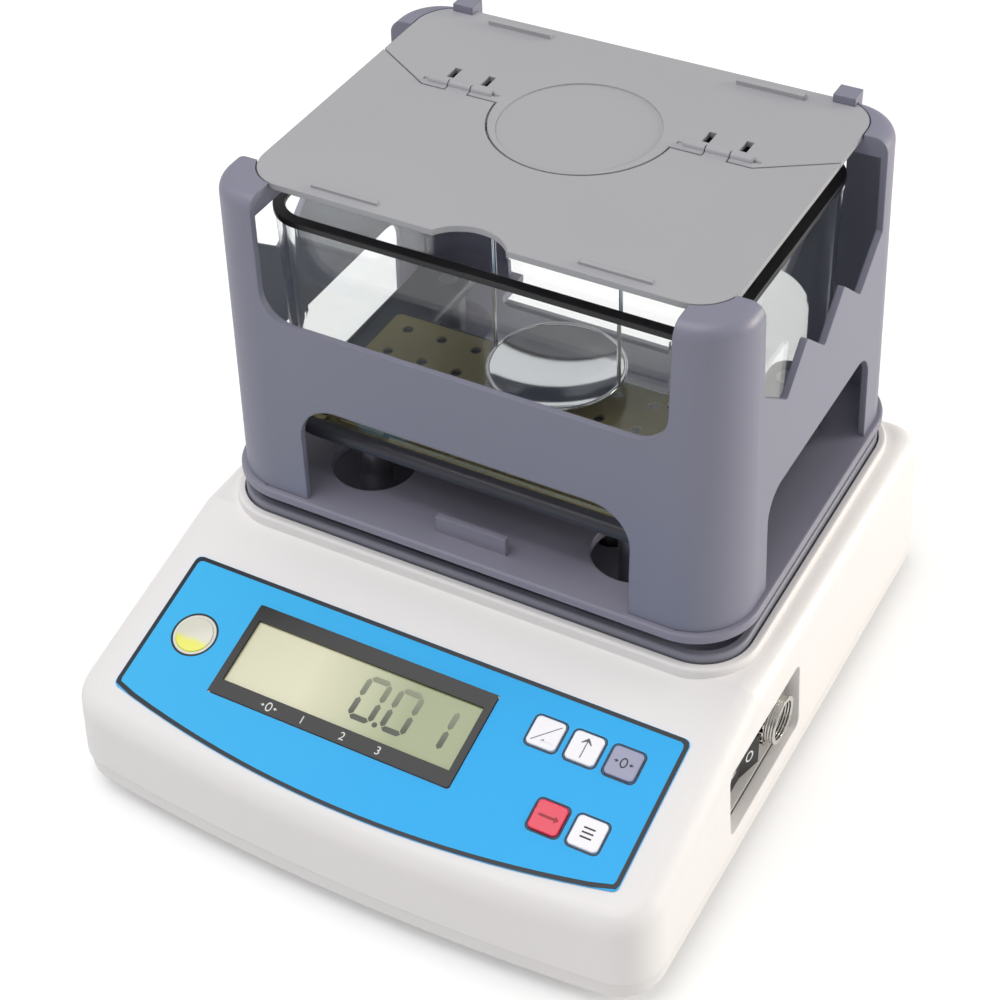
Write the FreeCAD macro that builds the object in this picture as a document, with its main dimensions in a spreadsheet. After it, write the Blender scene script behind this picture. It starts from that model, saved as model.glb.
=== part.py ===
import FreeCAD, Part
import math
import os
from types import SimpleNamespace

import Sketcher

# Benchtop density meter: a white balance base, a weighed grey tower with a two-part lid and a hanging
# basket, and a clear water tank on a fixed shelf inside the tower.
# +X is the object's right side, -Y its front, +Z up. The origin is on the table under the middle.

# Driving dimensions in millimetres, angles in degrees
DIMENSIONS = {
    # base, outside
    "base_width": 190.0,
    "base_depth": 212.0,
    "front_bow": 6.0,
    "ride_height": 5.0,
    "seam_height": 12.0,
    "deck_height": 55.5,
    "base_draft_angle": 3.0,
    "base_front_corner": 14.0,
    "base_rear_corner": 10.0,
    "shoulder_radius": 7.0,
    "base_wall": 3.5,
    "deck_wall": 3.0,
    "cavity_front_height": 29.0,
    "seam_inset": 0.5,
    "floor_wall": 2.5,
    "bottom_edge_radius": 1.5,
    "lip_height": 3.0,
    "lip_thickness": 1.5,
    "lip_clearance": 0.3,
    # sloped panel
    "panel_angle": 15.6,
    "panel_top_y": -44.8,
    "panel_top_height": 50.05,
    "panel_width": 162.8,
    "panel_side_length": 47.5,
    "panel_bow": 9.3,
    "panel_corner": 2.0,
    "panel_thickness": 0.5,
    "panel_step": 0.2,
    # display
    "bezel_width": 79.8,
    "bezel_length": 30.8,
    "bezel_x": -13.8,
    "bezel_y": -23.4,
    "bezel_thickness": 0.9,
    "glass_width": 75.2,
    "glass_length": 21.0,
    "glass_thickness": 2.6,
    "glass_gap": 0.2,
    "backlight_margin": 0.6,
    "board_drop": 7.6,
    "board_thickness": 1.6,
    "board_left": 61.6,
    "board_right": 76.4,
    "board_post_left": 57.6,
    "board_post_right": 32.0,
    "board_post_y": 6.6,
    # keys
    "key_size": 9.0,
    "key_corner": 1.4,
    "key_height": 1.1,
    "key_gap": 0.25,
    "key_flange": 0.9,
    "key_flange_height": 0.8,
    "key_travel": 0.5,
    "key_stop_gap": 0.1,
    "key_edge_radius": 0.35,
    "key_switch_size": 6.0,
    "key_plunger_radius": 1.5,
    "key_pitch": 11.9,
    "key_row_upper": -13.4,
    "key_row_lower": -35.8,
    "key_column_right": 67.3,
    # spirit level
    "level_x": -67.4,
    "level_y": -24.3,
    "level_radius": 6.6,
    "level_depth": 7.0,
    "level_wall": 0.8,
    "level_rise": 0.8,
    # side pocket with switch and socket
    "pocket_front_y": -46.0,
    "pocket_rear_y": 2.5,
    "pocket_low": 15.0,
    "pocket_high": 42.5,
    "pocket_floor_x": 86.5,
    "pocket_wall": 2.5,
    "pocket_corner": 3.0,
    "switch_y": -28.5,
    "switch_height": 28.0,
    "switch_length": 21.0,
    "switch_width": 15.0,
    "switch_flange": 1.6,
    "switch_flange_margin": 1.2,
    "switch_depth": 13.0,
    "rocker_clearance": 0.5,
    "rocker_rise": 3.2,
    "rocker_root_inset": 1.6,
    "rocker_proud": 1.1,
    "rocker_angle": 14.0,
    "rocker_pin_radius": 1.0,
    "socket_y": -7.5,
    "socket_radius": 7.4,
    "socket_flange_radius": 9.0,
    "socket_flange": 1.6,
    "socket_rise": 7.0,
    "socket_wall": 1.3,
    "socket_depth": 9.0,
    "socket_pin_radius": 0.6,
    "socket_pin_circle": 3.2,
    "socket_pin_rise": 4.0,
    # levelling feet and screws
    "foot_x": 74.0,
    "foot_front_y": -80.0,
    "foot_rear_y": 86.0,
    "foot_radius": 10.0,
    "foot_knob_height": 4.4,
    "foot_stud_radius": 3.0,
    "foot_stud_length": 8.0,
    "foot_scallop_radius": 2.0,
    "foot_edge": 0.8,
    "insert_radius": 4.4,
    "insert_clearance": 0.05,
    "insert_height": 10.0,
    "foot_boss_wall": 2.0,
    "screw_x": 82.0,
    "screw_front_y": -58.0,
    "screw_rear_y": 62.0,
    "screw_radius": 1.5,
    "screw_head_radius": 3.0,
    "screw_head_height": 1.8,
    "screw_length": 14.0,
    "screw_boss_radius": 5.0,
    "screw_head_depth": 2.5,
    "screw_boss_sink_share": 0.7,
    "screw_clearance": 0.3,
    # weighing mechanism
    "tower_y": 36.8,
    "cell_length": 80.0,
    "cell_width": 18.0,
    "cell_height": 18.0,
    "cell_end": 22.0,
    "cell_hole_radius": 6.5,
    "cell_hole_spacing": 15.0,
    "cell_slot_height": 4.4,
    "mount_height": 9.0,
    "mount_width": 26.0,
    "carrier_gap": 4.0,
    "carrier_thickness": 3.0,
    "stem_x": 28.0,
    "stem_y": 23.0,
    "stem_radius": 4.0,
    "stem_clearance": 2.0,
    "carrier_margin": 7.0,
    "cell_screw_radius": 2.0,
    "cell_screw_head_radius": 3.5,
    "cell_screw_head_height": 3.0,
    "cell_screw_spacing": 11.0,
    # main circuit board
    "main_board_x": -46.0,
    "main_board_y": 30.0,
    "main_board_width": 56.0,
    "main_board_length": 78.0,
    "main_board_rise": 5.0,
    "main_board_inset": 4.0,
    "main_board_boss_radius": 3.0,
    "chip_size": 14.0,
    "chip_height": 2.4,
    "terminal_length": 26.0,
    "terminal_height": 9.0,
    # tray in the deck
    "tray_width": 166.0,
    "tray_depth": 124.0,
    "tray_y": 36.4,
    "tray_corner": 15.0,
    "tray_height": 6.5,
    "tray_rim": 2.4,
    "tray_edge_radius": 0.8,
    "tray_floor": 2.0,
    "tray_seat_drop": 1.2,
    "tray_seat_margin": 0.6,
    "deck_rim_width": 2.4,
    "deck_rim_height": 2.8,
    "deck_rim_radius": 1.0,
    # weighed platform plate
    "plate_top_height": 69.3,
    "plate_thickness": 3.2,
    "plate_margin": 1.8,
    "plate_edge_radius": 0.8,
    "plate_hole_radius": 13.0,
    "plate_rib_width": 23.0,
    "plate_rib_height": 6.0,
    "plate_rib_thickness": 2.0,
    "plate_rib_y": -20.0,
    "plate_notch_width": 98.0,
    "plate_notch_front": 84.0,
    "plate_notch_corner": 6.0,
    # tower
    "tower_width": 165.0,
    "tower_depth": 125.6,
    "tower_height": 99.7,
    "tower_corner": 18.0,
    "tower_wall": 2.0,
    "tower_draft_angle": 2.0,
    "tower_top_radius": 4.5,
    "tower_top_thickness": 6.0,
    "window_width": 124.0,
    "window_sill_height": 130.5,
    "window_corner": 10.0,
    "arch_width": 105.0,
    "arch_height": 105.0,
    "arch_corner": 12.5,
    "side_window_width": 83.0,
    "side_shoulder_height": 140.0,
    "side_notch_height": 128.3,
    "side_peak_height": 139.5,
    "side_notch_spacing": 26.0,
    "side_edge_radius": 1.2,
    "side_arch_width": 74.0,
    "side_arch_height": 102.0,
    "side_arch_corner": 9.0,
    "ledge_inset": 5.0,
    "ledge_chamfer": 13.0,
    "clip_x": 61.0,
    "clip_width": 6.6,
    "clip_rise": 2.4,
    "clip_depth": 6.0,
    "clip_height": 14.0,
    "peg_x": 67.0,
    "peg_radius": 0.8,
    "peg_length": 2.2,
    "peg_clearance": 0.2,
    # lids
    "lid_width": 142.8,
    "lid_front_y": -13.1,
    "lid_rear_y": 93.4,
    "lid_corner": 12.0,
    "lid_thickness": 1.8,
    "lid_clearance": 0.4,
    "seam_y": 49.8,
    "seam_gap": 0.6,
    "seam_outer_y": 62.3,
    "seam_kink_x": 51.3,
    "tongue_width": 54.0,
    "tongue_reach": 25.4,
    "notch_width": 22.4,
    "notch_reach": 6.0,
    "spot_radius": 23.2,
    "spot_y": 48.6,
    "spot_depth": 0.4,
    "slot_width": 2.2,
    "slot_length": 5.4,
    "slot_y": 59.0,
    "slot_inner_x": 34.6,
    "slot_outer_x": 45.7,
    "ridge_inner_x": 29.8,
    "ridge_outer_x": 50.4,
    "ridge_width": 1.4,
    "ridge_height": 0.8,
    "front_ridge_y": -9.3,
    "rear_bar_y": 91.0,
    "rear_bar_width": 2.2,
    "rear_bar_height": 1.4,
    "hinge_y": 53.0,
    "barrel_radius": 1.4,
    "hinge_pin_radius": 0.6,
    "hinge_clearance": 0.05,
    "hinge_bore_run_out": 2.0,
    "knuckle_inner_x": 36.6,
    "knuckle_outer_x": 43.6,
    "knuckle_gap": 0.3,
    "knuckle_neck": 1.6,
    "knuckle_room": 2.1,
    # tank on its fixed shelf
    "post_front_x": 43.5,
    "post_front_y": -2.5,
    "post_rear_x": 57.0,
    "post_rear_y": 68.0,
    "post_radius": 5.0,
    "post_stud_radius": 2.5,
    "post_stud_length": 10.0,
    "nut_radius": 4.6,
    "nut_height": 3.2,
    "shelf_height": 82.5,
    "shelf_thickness": 4.5,
    "shelf_margin": 3.0,
    "shelf_edge_radius": 1.8,
    "shelf_bay_width": 100.0,
    "shelf_bay_front": 47.0,
    "shelf_arm_rear": 77.0,
    "shelf_screw_radius": 1.6,
    "shelf_screw_head_radius": 3.2,
    "shelf_screw_length": 10.0,
    "countersink_angle": 45.0,
    "pad_thickness": 1.0,
    "pad_half_width": 61.0,
    "pad_front": -7.0,
    "pad_rear": 44.0,
    "pad_corner": 2.0,
    "pad_hole_radius": 1.7,
    "pad_hole_pitch": 12.0,
    "tank_width": 138.0,
    "tank_depth": 96.0,
    "tank_height": 68.2,
    "tank_corner": 13.0,
    "tank_wall": 2.4,
    "tank_floor": 2.0,
    "seal_overhang": 0.5,
    "seal_skirt": 1.0,
    "seal_rise": 0.7,
    # hanger and basket
    "basket_y": 34.0,
    "hanger_width": 36.0,
    "hanger_length": 22.0,
    "hanger_plate": 2.5,
    "hanger_ear_inner_x": 5.0,
    "hanger_ear_width": 4.0,
    "hanger_ear_length": 9.0,
    "hook_drop": 9.4,
    "hook_rod_radius": 1.5,
    "hook_clearance": 0.06,
    "eye_radius": 3.2,
    "eye_width": 5.0,
    "basket_stem_radius": 1.3,
    "yoke_drop": 14.0,
    "yoke_width": 42.0,
    "yoke_depth": 5.0,
    "yoke_height": 5.0,
    "wire_radius": 0.6,
    "pan_radius": 21.0,
    "pan_rim_height": 96.4,
    "pan_sink": 3.6,
    "pan_thickness": 0.9,
    # room that a cutter takes past a face
    "overrun": 8.0,
    # how closely two faces count as being at one height
    "match_tolerance": 0.03,
}

PAD_HOLE_COLUMNS = 10
PAD_HOLE_ROWS = 4
SCALLOPS = 12
SOCKET_PINS = 4

doc = FreeCAD.newDocument("density_meter")
sheet = doc.addObject("Spreadsheet::Sheet", "sizes")


class Size:
    """A length or angle together with the expression that gives it from the sheet."""

    def __init__(self, value, text):
        self.value = float(value)
        self.text = text

    def __add__(self, other):
        other = sized(other)
        return Size(self.value + other.value, "(%s + %s)" % (self.text, other.text))

    def __sub__(self, other):
        other = sized(other)
        return Size(self.value - other.value, "(%s - %s)" % (self.text, other.text))

    def __mul__(self, other):
        other = sized(other)
        return Size(self.value * other.value, "(%s * %s)" % (self.text, other.text))

    def __truediv__(self, other):
        other = sized(other)
        return Size(self.value / other.value, "(%s / %s)" % (self.text, other.text))

    def __neg__(self):
        return Size(-self.value, "(-1 * %s)" % self.text)


def sized(thing):
    """Takes a plain factor into the same form as a size."""
    return thing if isinstance(thing, Size) else Size(thing, repr(float(thing)))


def tangent(angle):
    """Tangent of a named angle."""
    return Size(math.tan(math.radians(angle.value)), "tan(%s * 1 deg)" % angle.text)


def cosine(angle):
    """Cosine of a named angle."""
    return Size(math.cos(math.radians(angle.value)), "cos(%s * 1 deg)" % angle.text)


def arc_radius(half_chord, rise):
    """Radius of the arc that rises by rise over a chord of twice half_chord."""
    return (half_chord * half_chord + rise * rise) / (rise * 2)


def fill_sheet():
    """Writes the dimensions into the sheet and returns them as sizes."""
    named = {}
    for row, (name, value) in enumerate(DIMENSIONS.items(), start=1):
        sheet.set("A%d" % row, name)
        sheet.set("B%d" % row, str(value))
        sheet.setAlias("B%d" % row, name)
        named[name] = Size(value, "sizes." + name)
    doc.recompute()
    return SimpleNamespace(**named)


s = fill_sheet()
ZERO = Size(0, "0")
PANEL_TILT = FreeCAD.Rotation(FreeCAD.Vector(1, 0, 0), s.panel_angle.value)
nodes = []


# Shared building steps


def bind(thing, path, size):
    """Ties a property to the sheet."""
    thing.setExpression(path, sized(size).text)


def body_named(name):
    """Starts a new moulded, turned or milled piece."""
    body = doc.addObject("PartDesign::Body", name)
    body.Label = name
    nodes.append(body)
    return body


def sketch_on(body, role, height=None):
    """Starts a sketch on one of the body's own origin planes, moved along its normal by height."""
    sketch = body.newObject("Sketcher::SketchObject", body.Name + "_sketch")
    plane = next(item for item in body.Origin.OriginFeatures if item.Role == role)
    sketch.AttachmentSupport = [(plane, "")]
    sketch.MapMode = "FlatFace"
    if height is not None:
        bind(sketch, "AttachmentOffset.Base.z", height)
    return sketch


def sketch_on_panel(body, depth):
    """Starts a sketch parallel to the sloped panel, depth below its surface."""
    sketch = sketch_on(body, "XY_Plane")
    sketch.AttachmentOffset = FreeCAD.Placement(FreeCAD.Vector(), PANEL_TILT)
    sine = tangent(s.panel_angle) * cosine(s.panel_angle)
    bind(sketch, "AttachmentOffset.Rotation.Angle", s.panel_angle)
    bind(sketch, "AttachmentOffset.Base.y", s.panel_top_y + depth * sine)
    bind(sketch, "AttachmentOffset.Base.z", s.panel_top_height - depth * cosine(s.panel_angle))
    return sketch


def pin_down(sketch, geometry, position, x, y):
    """Fixes a sketch point at x, y."""
    for kind, axis, size in (("DistanceX", -2, x), ("DistanceY", -1, y)):
        if size.value == 0:
            sketch.addConstraint(Sketcher.Constraint("PointOnObject", geometry, position, axis))
        elif size.value > 0:
            index = sketch.addConstraint(
                Sketcher.Constraint(kind, -1, 1, geometry, position, size.value))
            bind(sketch, "Constraints[%d]" % index, size)
        else:
            index = sketch.addConstraint(
                Sketcher.Constraint(kind, geometry, position, -1, 1, -size.value))
            bind(sketch, "Constraints[%d]" % index, -size)


def vector(x, y):
    return FreeCAD.Vector(x.value, y.value, 0)


def arc_between(start, end, radius, turn):
    """Minor arc from start to end. turn is 1 when it bends to the left and -1 to the right."""
    chord = end - start
    normal = FreeCAD.Vector(-chord.y, chord.x, 0).normalize() * turn
    reach = math.sqrt(max(radius * radius - chord.Length * chord.Length / 4, 0))
    centre = (start + end) / 2 + normal * reach
    first, last = (start, end) if turn > 0 else (end, start)
    angles = [math.atan2(point.y - centre.y, point.x - centre.x) for point in (first, last)]
    circle = Part.Circle(centre, FreeCAD.Vector(0, 0, 1), radius)
    return Part.ArcOfCircle(circle, angles[0], angles[1])


def outline(sketch, corners):
    """Closed profile. A corner is (x, y), or (x, y, radius, turn) when an arc leaves it."""
    ends = []
    for index, corner in enumerate(corners):
        following = corners[(index + 1) % len(corners)]
        start = vector(corner[0], corner[1])
        end = vector(following[0], following[1])
        if len(corner) == 2:
            geometry = sketch.addGeometry(Part.LineSegment(start, end), False)
            ends.append((geometry, 1, 2))
            continue
        radius, turn = corner[2], corner[3]
        geometry = sketch.addGeometry(arc_between(start, end, radius.value, turn), False)
        ends.append((geometry, 1, 2) if turn > 0 else (geometry, 2, 1))
    for index, (geometry, first, last) in enumerate(ends):
        other, other_first, _ = ends[(index + 1) % len(ends)]
        sketch.addConstraint(Sketcher.Constraint("Coincident", geometry, last, other, other_first))
        pin_down(sketch, geometry, first, corners[index][0], corners[index][1])
        if len(corners[index]) > 2:
            rule = sketch.addConstraint(
                Sketcher.Constraint("Radius", geometry, corners[index][2].value))
            bind(sketch, "Constraints[%d]" % rule, corners[index][2])


def rectangle(sketch, x0, x1, y0, y1, corner=None):
    """Rectangle, with rounded corners when corner is given."""
    if corner is None:
        outline(sketch, [(x0, y0), (x1, y0), (x1, y1), (x0, y1)])
        return
    outline(sketch, [
        (x0 + corner, y0), (x1 - corner, y0, corner, 1),
        (x1, y0 + corner), (x1, y1 - corner, corner, 1),
        (x1 - corner, y1), (x0 + corner, y1, corner, 1),
        (x0, y1 - corner), (x0, y0 + corner, corner, 1),
    ])


def circle(sketch, x, y, radius):
    """Circle about x, y."""
    geometry = sketch.addGeometry(
        Part.Circle(vector(x, y), FreeCAD.Vector(0, 0, 1), radius.value), False)
    rule = sketch.addConstraint(Sketcher.Constraint("Radius", geometry, radius.value))
    bind(sketch, "Constraints[%d]" % rule, radius)
    pin_down(sketch, geometry, 3, x, y)


def extrude(body, kind, sketch, length, both_ways=False, flipped=False, draft=None):
    """Pads or pockets a sketch and makes sure that the solid changed."""
    before = body.Shape.Volume if body.Shape.Solids else 0
    feature = body.newObject("PartDesign::" + kind, body.Name + "_" + kind.lower())
    feature.Profile = (sketch, [""])
    bind(feature, "Length", length)
    if both_ways:
        feature.SideType = "Symmetric"
    feature.Reversed = flipped
    if draft is not None:
        bind(feature, "TaperAngle", draft)
    body.Tip = feature
    doc.recompute()
    change = body.Shape.Volume - before
    if (change <= 0) == (kind == "Pad"):
        raise RuntimeError("%s of %s changed nothing" % (kind, body.Label))
    return feature


def pad(body, sketch, length, **options):
    return extrude(body, "Pad", sketch, length, **options)


def pocket(body, sketch, length, **options):
    return extrude(body, "Pocket", sketch, length, **options)


def round_edges(body, radius, wanted):
    """Rounds the edges of the body's last feature for which wanted(edge) holds."""
    base = body.Tip
    names = ["Edge%d" % (index + 1) for index, edge in enumerate(base.Shape.Edges) if wanted(edge)]
    if not names:
        raise RuntimeError("no edge to round on " + body.Label)
    feature = body.newObject("PartDesign::Fillet", body.Name + "_fillet")
    feature.Base = (base, names)
    bind(feature, "Radius", radius)
    body.Tip = feature
    doc.recompute()
    return feature


def near(first, second):
    return abs(first - second) < s.match_tolerance.value


def level_at(height):
    """Test for edges that lie in the horizontal plane at height."""
    return lambda edge: all(near(vertex.Z, height.value) for vertex in edge.Vertexes)


def upright(edge):
    """True for an edge that climbs from one height to another almost plumb."""
    if len(edge.Vertexes) < 2:
        return False
    rise = edge.Vertexes[1].Point - edge.Vertexes[0].Point
    return abs(rise.z) > abs(rise.x) + abs(rise.y)


def slab(name, x0, x1, y0, y1, low, height, corner=None):
    """Flat piece with an optional corner radius, as a body."""
    body = body_named(name)
    sketch = sketch_on(body, "XY_Plane", low)
    rectangle(sketch, x0, x1, y0, y1, corner)
    pad(body, sketch, height)
    return body


def seat_on_panel(body):
    """Turns a piece that was drawn flat onto the sloped panel."""
    body.Placement = FreeCAD.Placement(
        FreeCAD.Vector(0, s.panel_top_y.value, s.panel_top_height.value), PANEL_TILT)
    bind(body, "Placement.Rotation.Angle", s.panel_angle)
    bind(body, "Placement.Base.y", s.panel_top_y)
    bind(body, "Placement.Base.z", s.panel_top_height)


def cylinder(x, y, z, radius, length, axis="z"):
    """Round bar that starts at x, y, z and runs along one axis."""
    bar = doc.addObject("Part::Cylinder", "bar")
    bind(bar, "Radius", radius)
    bind(bar, "Height", length)
    turns = {"z": (FreeCAD.Vector(0, 0, 1), 0), "x": (FreeCAD.Vector(0, 1, 0), 90),
             "y": (FreeCAD.Vector(1, 0, 0), -90)}
    bar.Placement = FreeCAD.Placement(FreeCAD.Vector(), FreeCAD.Rotation(*turns[axis]))
    for letter, size in zip("xyz", (x, y, z)):
        bind(bar, "Placement.Base." + letter, size)
    return bar


def block(x, y, z, length, width, height):
    """Box that starts at x, y, z."""
    box = doc.addObject("Part::Box", "block")
    for side, size in (("Length", length), ("Width", width), ("Height", height)):
        bind(box, side, size)
    for letter, size in zip("xyz", (x, y, z)):
        bind(box, "Placement.Base." + letter, size)
    return box


def cone(x, y, z, low_radius, high_radius, height):
    """Upright cone frustum that starts at x, y, z."""
    form = doc.addObject("Part::Cone", "cone")
    bind(form, "Radius1", low_radius)
    bind(form, "Radius2", high_radius)
    bind(form, "Height", height)
    for letter, size in zip("xyz", (x, y, z)):
        bind(form, "Placement.Base." + letter, size)
    return form


def fused(shapes):
    joined = doc.addObject("Part::MultiFuse", "fused")
    joined.Shapes = shapes
    joined.Refine = True
    return joined


def cut(base, tool):
    result = doc.addObject("Part::Cut", "cut")
    result.Base = base
    result.Tool = tool
    return result


def grouped(shapes):
    group = doc.addObject("Part::Compound", "group")
    group.Links = shapes
    return group


def node(name, thing):
    """Names a finished piece."""
    thing.Label = name
    nodes.append(thing)
    return thing


# Heights and places that several pieces share

half_width = s.base_width / 2
rear_y = s.base_depth / 2
front_y = -rear_y
corner_y = front_y + s.front_bow
cavity_half = half_width - s.base_wall
cavity_front = corner_y + s.base_wall
cavity_rear = rear_y - s.base_wall
cavity_corner = s.base_rear_corner - s.base_wall
kink_y = s.panel_top_y + (s.deck_height - s.panel_top_height) / tangent(s.panel_angle)
seat_height = s.deck_height - s.tray_seat_drop
cavity_top = seat_height - s.deck_wall
roof = s.deck_wall / cosine(s.panel_angle)
plate_low = s.plate_top_height - s.plate_thickness
tower_half_width = s.tower_width / 2
tower_half_depth = s.tower_depth / 2
tower_front = s.tower_y - tower_half_depth
tower_rear = s.tower_y + tower_half_depth
tower_top = s.plate_top_height + s.tower_height
lid_low = tower_top - s.lid_thickness
lid_half = s.lid_width / 2
shelf_top = s.shelf_height + s.shelf_thickness
tank_low = shelf_top + s.pad_thickness
tank_top = tank_low + s.tank_height
tank_half_width = s.tank_width / 2
tank_half_depth = s.tank_depth / 2
floor_top = s.ride_height + s.floor_wall
cell_low = floor_top + s.mount_height
cell_top = cell_low + s.cell_height
cell_front = s.tower_y - s.cell_length / 2
cell_rear = s.tower_y + s.cell_length / 2
hook_height = lid_low - s.hook_drop
board_depth = s.board_drop + s.board_thickness
key_low = s.deck_wall + s.key_flange_height + s.key_stop_gap

feet = {
    "levelling_foot_front_left": (-s.foot_x, s.foot_front_y),
    "levelling_foot_front_right": (s.foot_x, s.foot_front_y),
    "levelling_foot_rear_left": (-s.foot_x, s.foot_rear_y),
    "levelling_foot_rear_right": (s.foot_x, s.foot_rear_y),
}
housing_screw_places = [(x, y) for y in (s.screw_front_y, s.screw_rear_y)
                        for x in (-s.screw_x, s.screw_x)]
post_places = [(-s.post_front_x, s.post_front_y), (s.post_front_x, s.post_front_y),
               (-s.post_rear_x, s.post_rear_y), (s.post_rear_x, s.post_rear_y)]
stem_places = [(x, s.tower_y + y) for y in (-s.stem_y, s.stem_y) for x in (-s.stem_x, s.stem_x)]
keys = {
    "key_upper_left": (s.key_column_right - s.key_pitch * 2, s.key_row_upper),
    "key_upper_middle": (s.key_column_right - s.key_pitch, s.key_row_upper),
    "key_upper_right": (s.key_column_right, s.key_row_upper),
    "key_lower_left": (s.key_column_right - s.key_pitch, s.key_row_lower),
    "key_lower_right": (s.key_column_right, s.key_row_lower),
}
display_posts = [(x, y) for y in (-s.board_post_y, s.board_post_y - s.panel_side_length)
                 for x in (-s.board_post_left, s.board_post_right)]


def slope_height(y):
    """Height of the sloped panel's plane at y."""
    return s.panel_top_height + (y - s.panel_top_y) * tangent(s.panel_angle)


def on_top_skin(edge):
    """True for the outer edges of the deck and of the slope, which the shoulder rounds."""
    for vertex in edge.Vertexes:
        skin = min(slope_height(Size(vertex.Y, "")).value, s.deck_height.value)
        if abs(vertex.Z - skin) > s.seam_gap.value:
            return False
    if len(edge.Vertexes) < 2 or edge.BoundBox.YLength > s.seam_gap.value:
        return True
    middle = edge.BoundBox.Center.y
    return middle > cavity_rear.value or middle < cavity_front.value


def base_outline(sketch, inset):
    """Plan of the base at the seam, with the front bowed outwards."""
    side = half_width - inset
    front = corner_y + inset
    rear = rear_y - inset
    outline(sketch, [(-side, front, arc_radius(side, s.front_bow), 1), (side, front),
                     (side, rear), (-side, rear)])


# White cover of the base, moulded in ABS. The draft, the bowed front and the rounded shoulder give the
# outer form. The inside is hollow and follows the slope.


def top_housing():
    body = body_named("top_housing")
    sketch = sketch_on(body, "XY_Plane", s.seam_height)
    base_outline(sketch, ZERO)
    pad(body, sketch, s.deck_height - s.seam_height, draft=-s.base_draft_angle)
    round_edges(body, s.base_front_corner, lambda edge: upright(edge) and edge.BoundBox.YMax < 0)
    round_edges(body, s.base_rear_corner, lambda edge: upright(edge) and edge.BoundBox.YMin > 0)
    sketch = sketch_on(body, "YZ_Plane")
    far_front = front_y - s.overrun
    outline(sketch, [(far_front, slope_height(far_front)), (kink_y, s.deck_height),
                     (kink_y, s.deck_height + s.overrun), (far_front, s.deck_height + s.overrun)])
    pocket(body, sketch, s.base_width + s.overrun * 2, both_ways=True)
    round_edges(body, s.shoulder_radius, on_top_skin)
    hollow_housing(body)
    house_switch_pocket(body)
    open_deck(body)
    open_panel(body)
    return body


def hollow_housing(body):
    """Hollows the cover and leaves its screw bosses."""
    for low_y, high in ((cavity_front, s.cavity_front_height), (kink_y, cavity_top)):
        sketch = sketch_on(body, "XY_Plane", s.seam_height)
        rectangle(sketch, -cavity_half, cavity_half, low_y, cavity_rear, cavity_corner)
        pocket(body, sketch, high - s.seam_height, flipped=True, draft=-s.base_draft_angle)
    sketch = sketch_on(body, "YZ_Plane")
    slope_end = kink_y - (s.deck_height - roof - cavity_top) / tangent(s.panel_angle)
    behind = kink_y + s.base_rear_corner
    outline(sketch, [(cavity_front, s.seam_height), (behind, s.seam_height), (behind, cavity_top),
                     (slope_end, cavity_top), (cavity_front, slope_height(cavity_front) - roof)])
    pocket(body, sketch, (half_width - s.shoulder_radius) * 2, both_ways=True)
    front_top = slope_height(s.screw_front_y) - roof * s.screw_boss_sink_share
    for y, top in ((s.screw_front_y, front_top), (s.screw_rear_y, cavity_top + s.panel_step)):
        sketch = sketch_on(body, "XY_Plane", s.seam_height)
        for x in (-s.screw_x, s.screw_x):
            circle(sketch, x, y, s.screw_boss_radius)
        pad(body, sketch, top - s.seam_height)
    sketch = sketch_on(body, "XY_Plane", s.seam_height)
    for x, y in housing_screw_places:
        circle(sketch, x, y, s.screw_radius)
    pocket(body, sketch, s.screw_length, flipped=True)


def house_switch_pocket(body):
    """Side pocket with the openings for the power switch and the data socket."""
    sketch = sketch_on(body, "YZ_Plane", s.pocket_floor_x - s.pocket_wall)
    rectangle(sketch, s.pocket_front_y - s.pocket_wall, s.pocket_rear_y + s.pocket_wall,
              s.seam_height + s.lip_height + s.lip_clearance, s.pocket_high + s.pocket_wall)
    pad(body, sketch, half_width - s.base_wall / 2 - s.pocket_floor_x)
    sketch = sketch_on(body, "YZ_Plane", half_width + s.overrun)
    rectangle(sketch, s.pocket_front_y, s.pocket_rear_y,
              s.pocket_low + s.pocket_wall + s.lip_clearance, s.pocket_high, s.pocket_corner)
    pocket(body, sketch, half_width + s.overrun - s.pocket_floor_x)
    sketch = sketch_on(body, "YZ_Plane", half_width)
    rectangle(sketch, s.switch_y - s.switch_length / 2, s.switch_y + s.switch_length / 2,
              s.switch_height - s.switch_width / 2, s.switch_height + s.switch_width / 2)
    circle(sketch, s.socket_y, s.switch_height, s.socket_radius)
    pocket(body, sketch, s.base_wall + half_width - s.pocket_floor_x + s.pocket_wall)


def open_deck(body):
    """Rim and recess that seat the tray, and holes for the stems and the tank posts."""
    half = s.tray_width / 2 + s.tray_seat_margin
    depth = s.tray_depth / 2 + s.tray_seat_margin
    rim = s.deck_rim_width
    rim_top = s.deck_height + s.deck_rim_height
    sketch = sketch_on(body, "XY_Plane", rim_top)
    rectangle(sketch, -half - rim, half + rim, s.tray_y - depth - rim, s.tray_y + depth + rim,
              s.tray_corner + s.tray_seat_margin + rim)
    pad(body, sketch, rim_top - cavity_top - s.deck_wall / 2, flipped=True)
    round_edges(body, s.deck_rim_radius, level_at(rim_top))
    sketch = sketch_on(body, "XY_Plane", s.deck_height + s.overrun)
    rectangle(sketch, -half, half, s.tray_y - depth, s.tray_y + depth,
              s.tray_corner + s.tray_seat_margin)
    pocket(body, sketch, s.overrun + s.tray_seat_drop)
    sketch = sketch_on(body, "XY_Plane", s.deck_height + s.overrun)
    for x, y in stem_places:
        circle(sketch, x, y, s.stem_radius + s.stem_clearance)
    for x, y in post_places:
        circle(sketch, x, y, s.post_stud_radius)
    pocket(body, sketch, s.overrun + s.deck_height - cavity_top + s.deck_wall)


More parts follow.
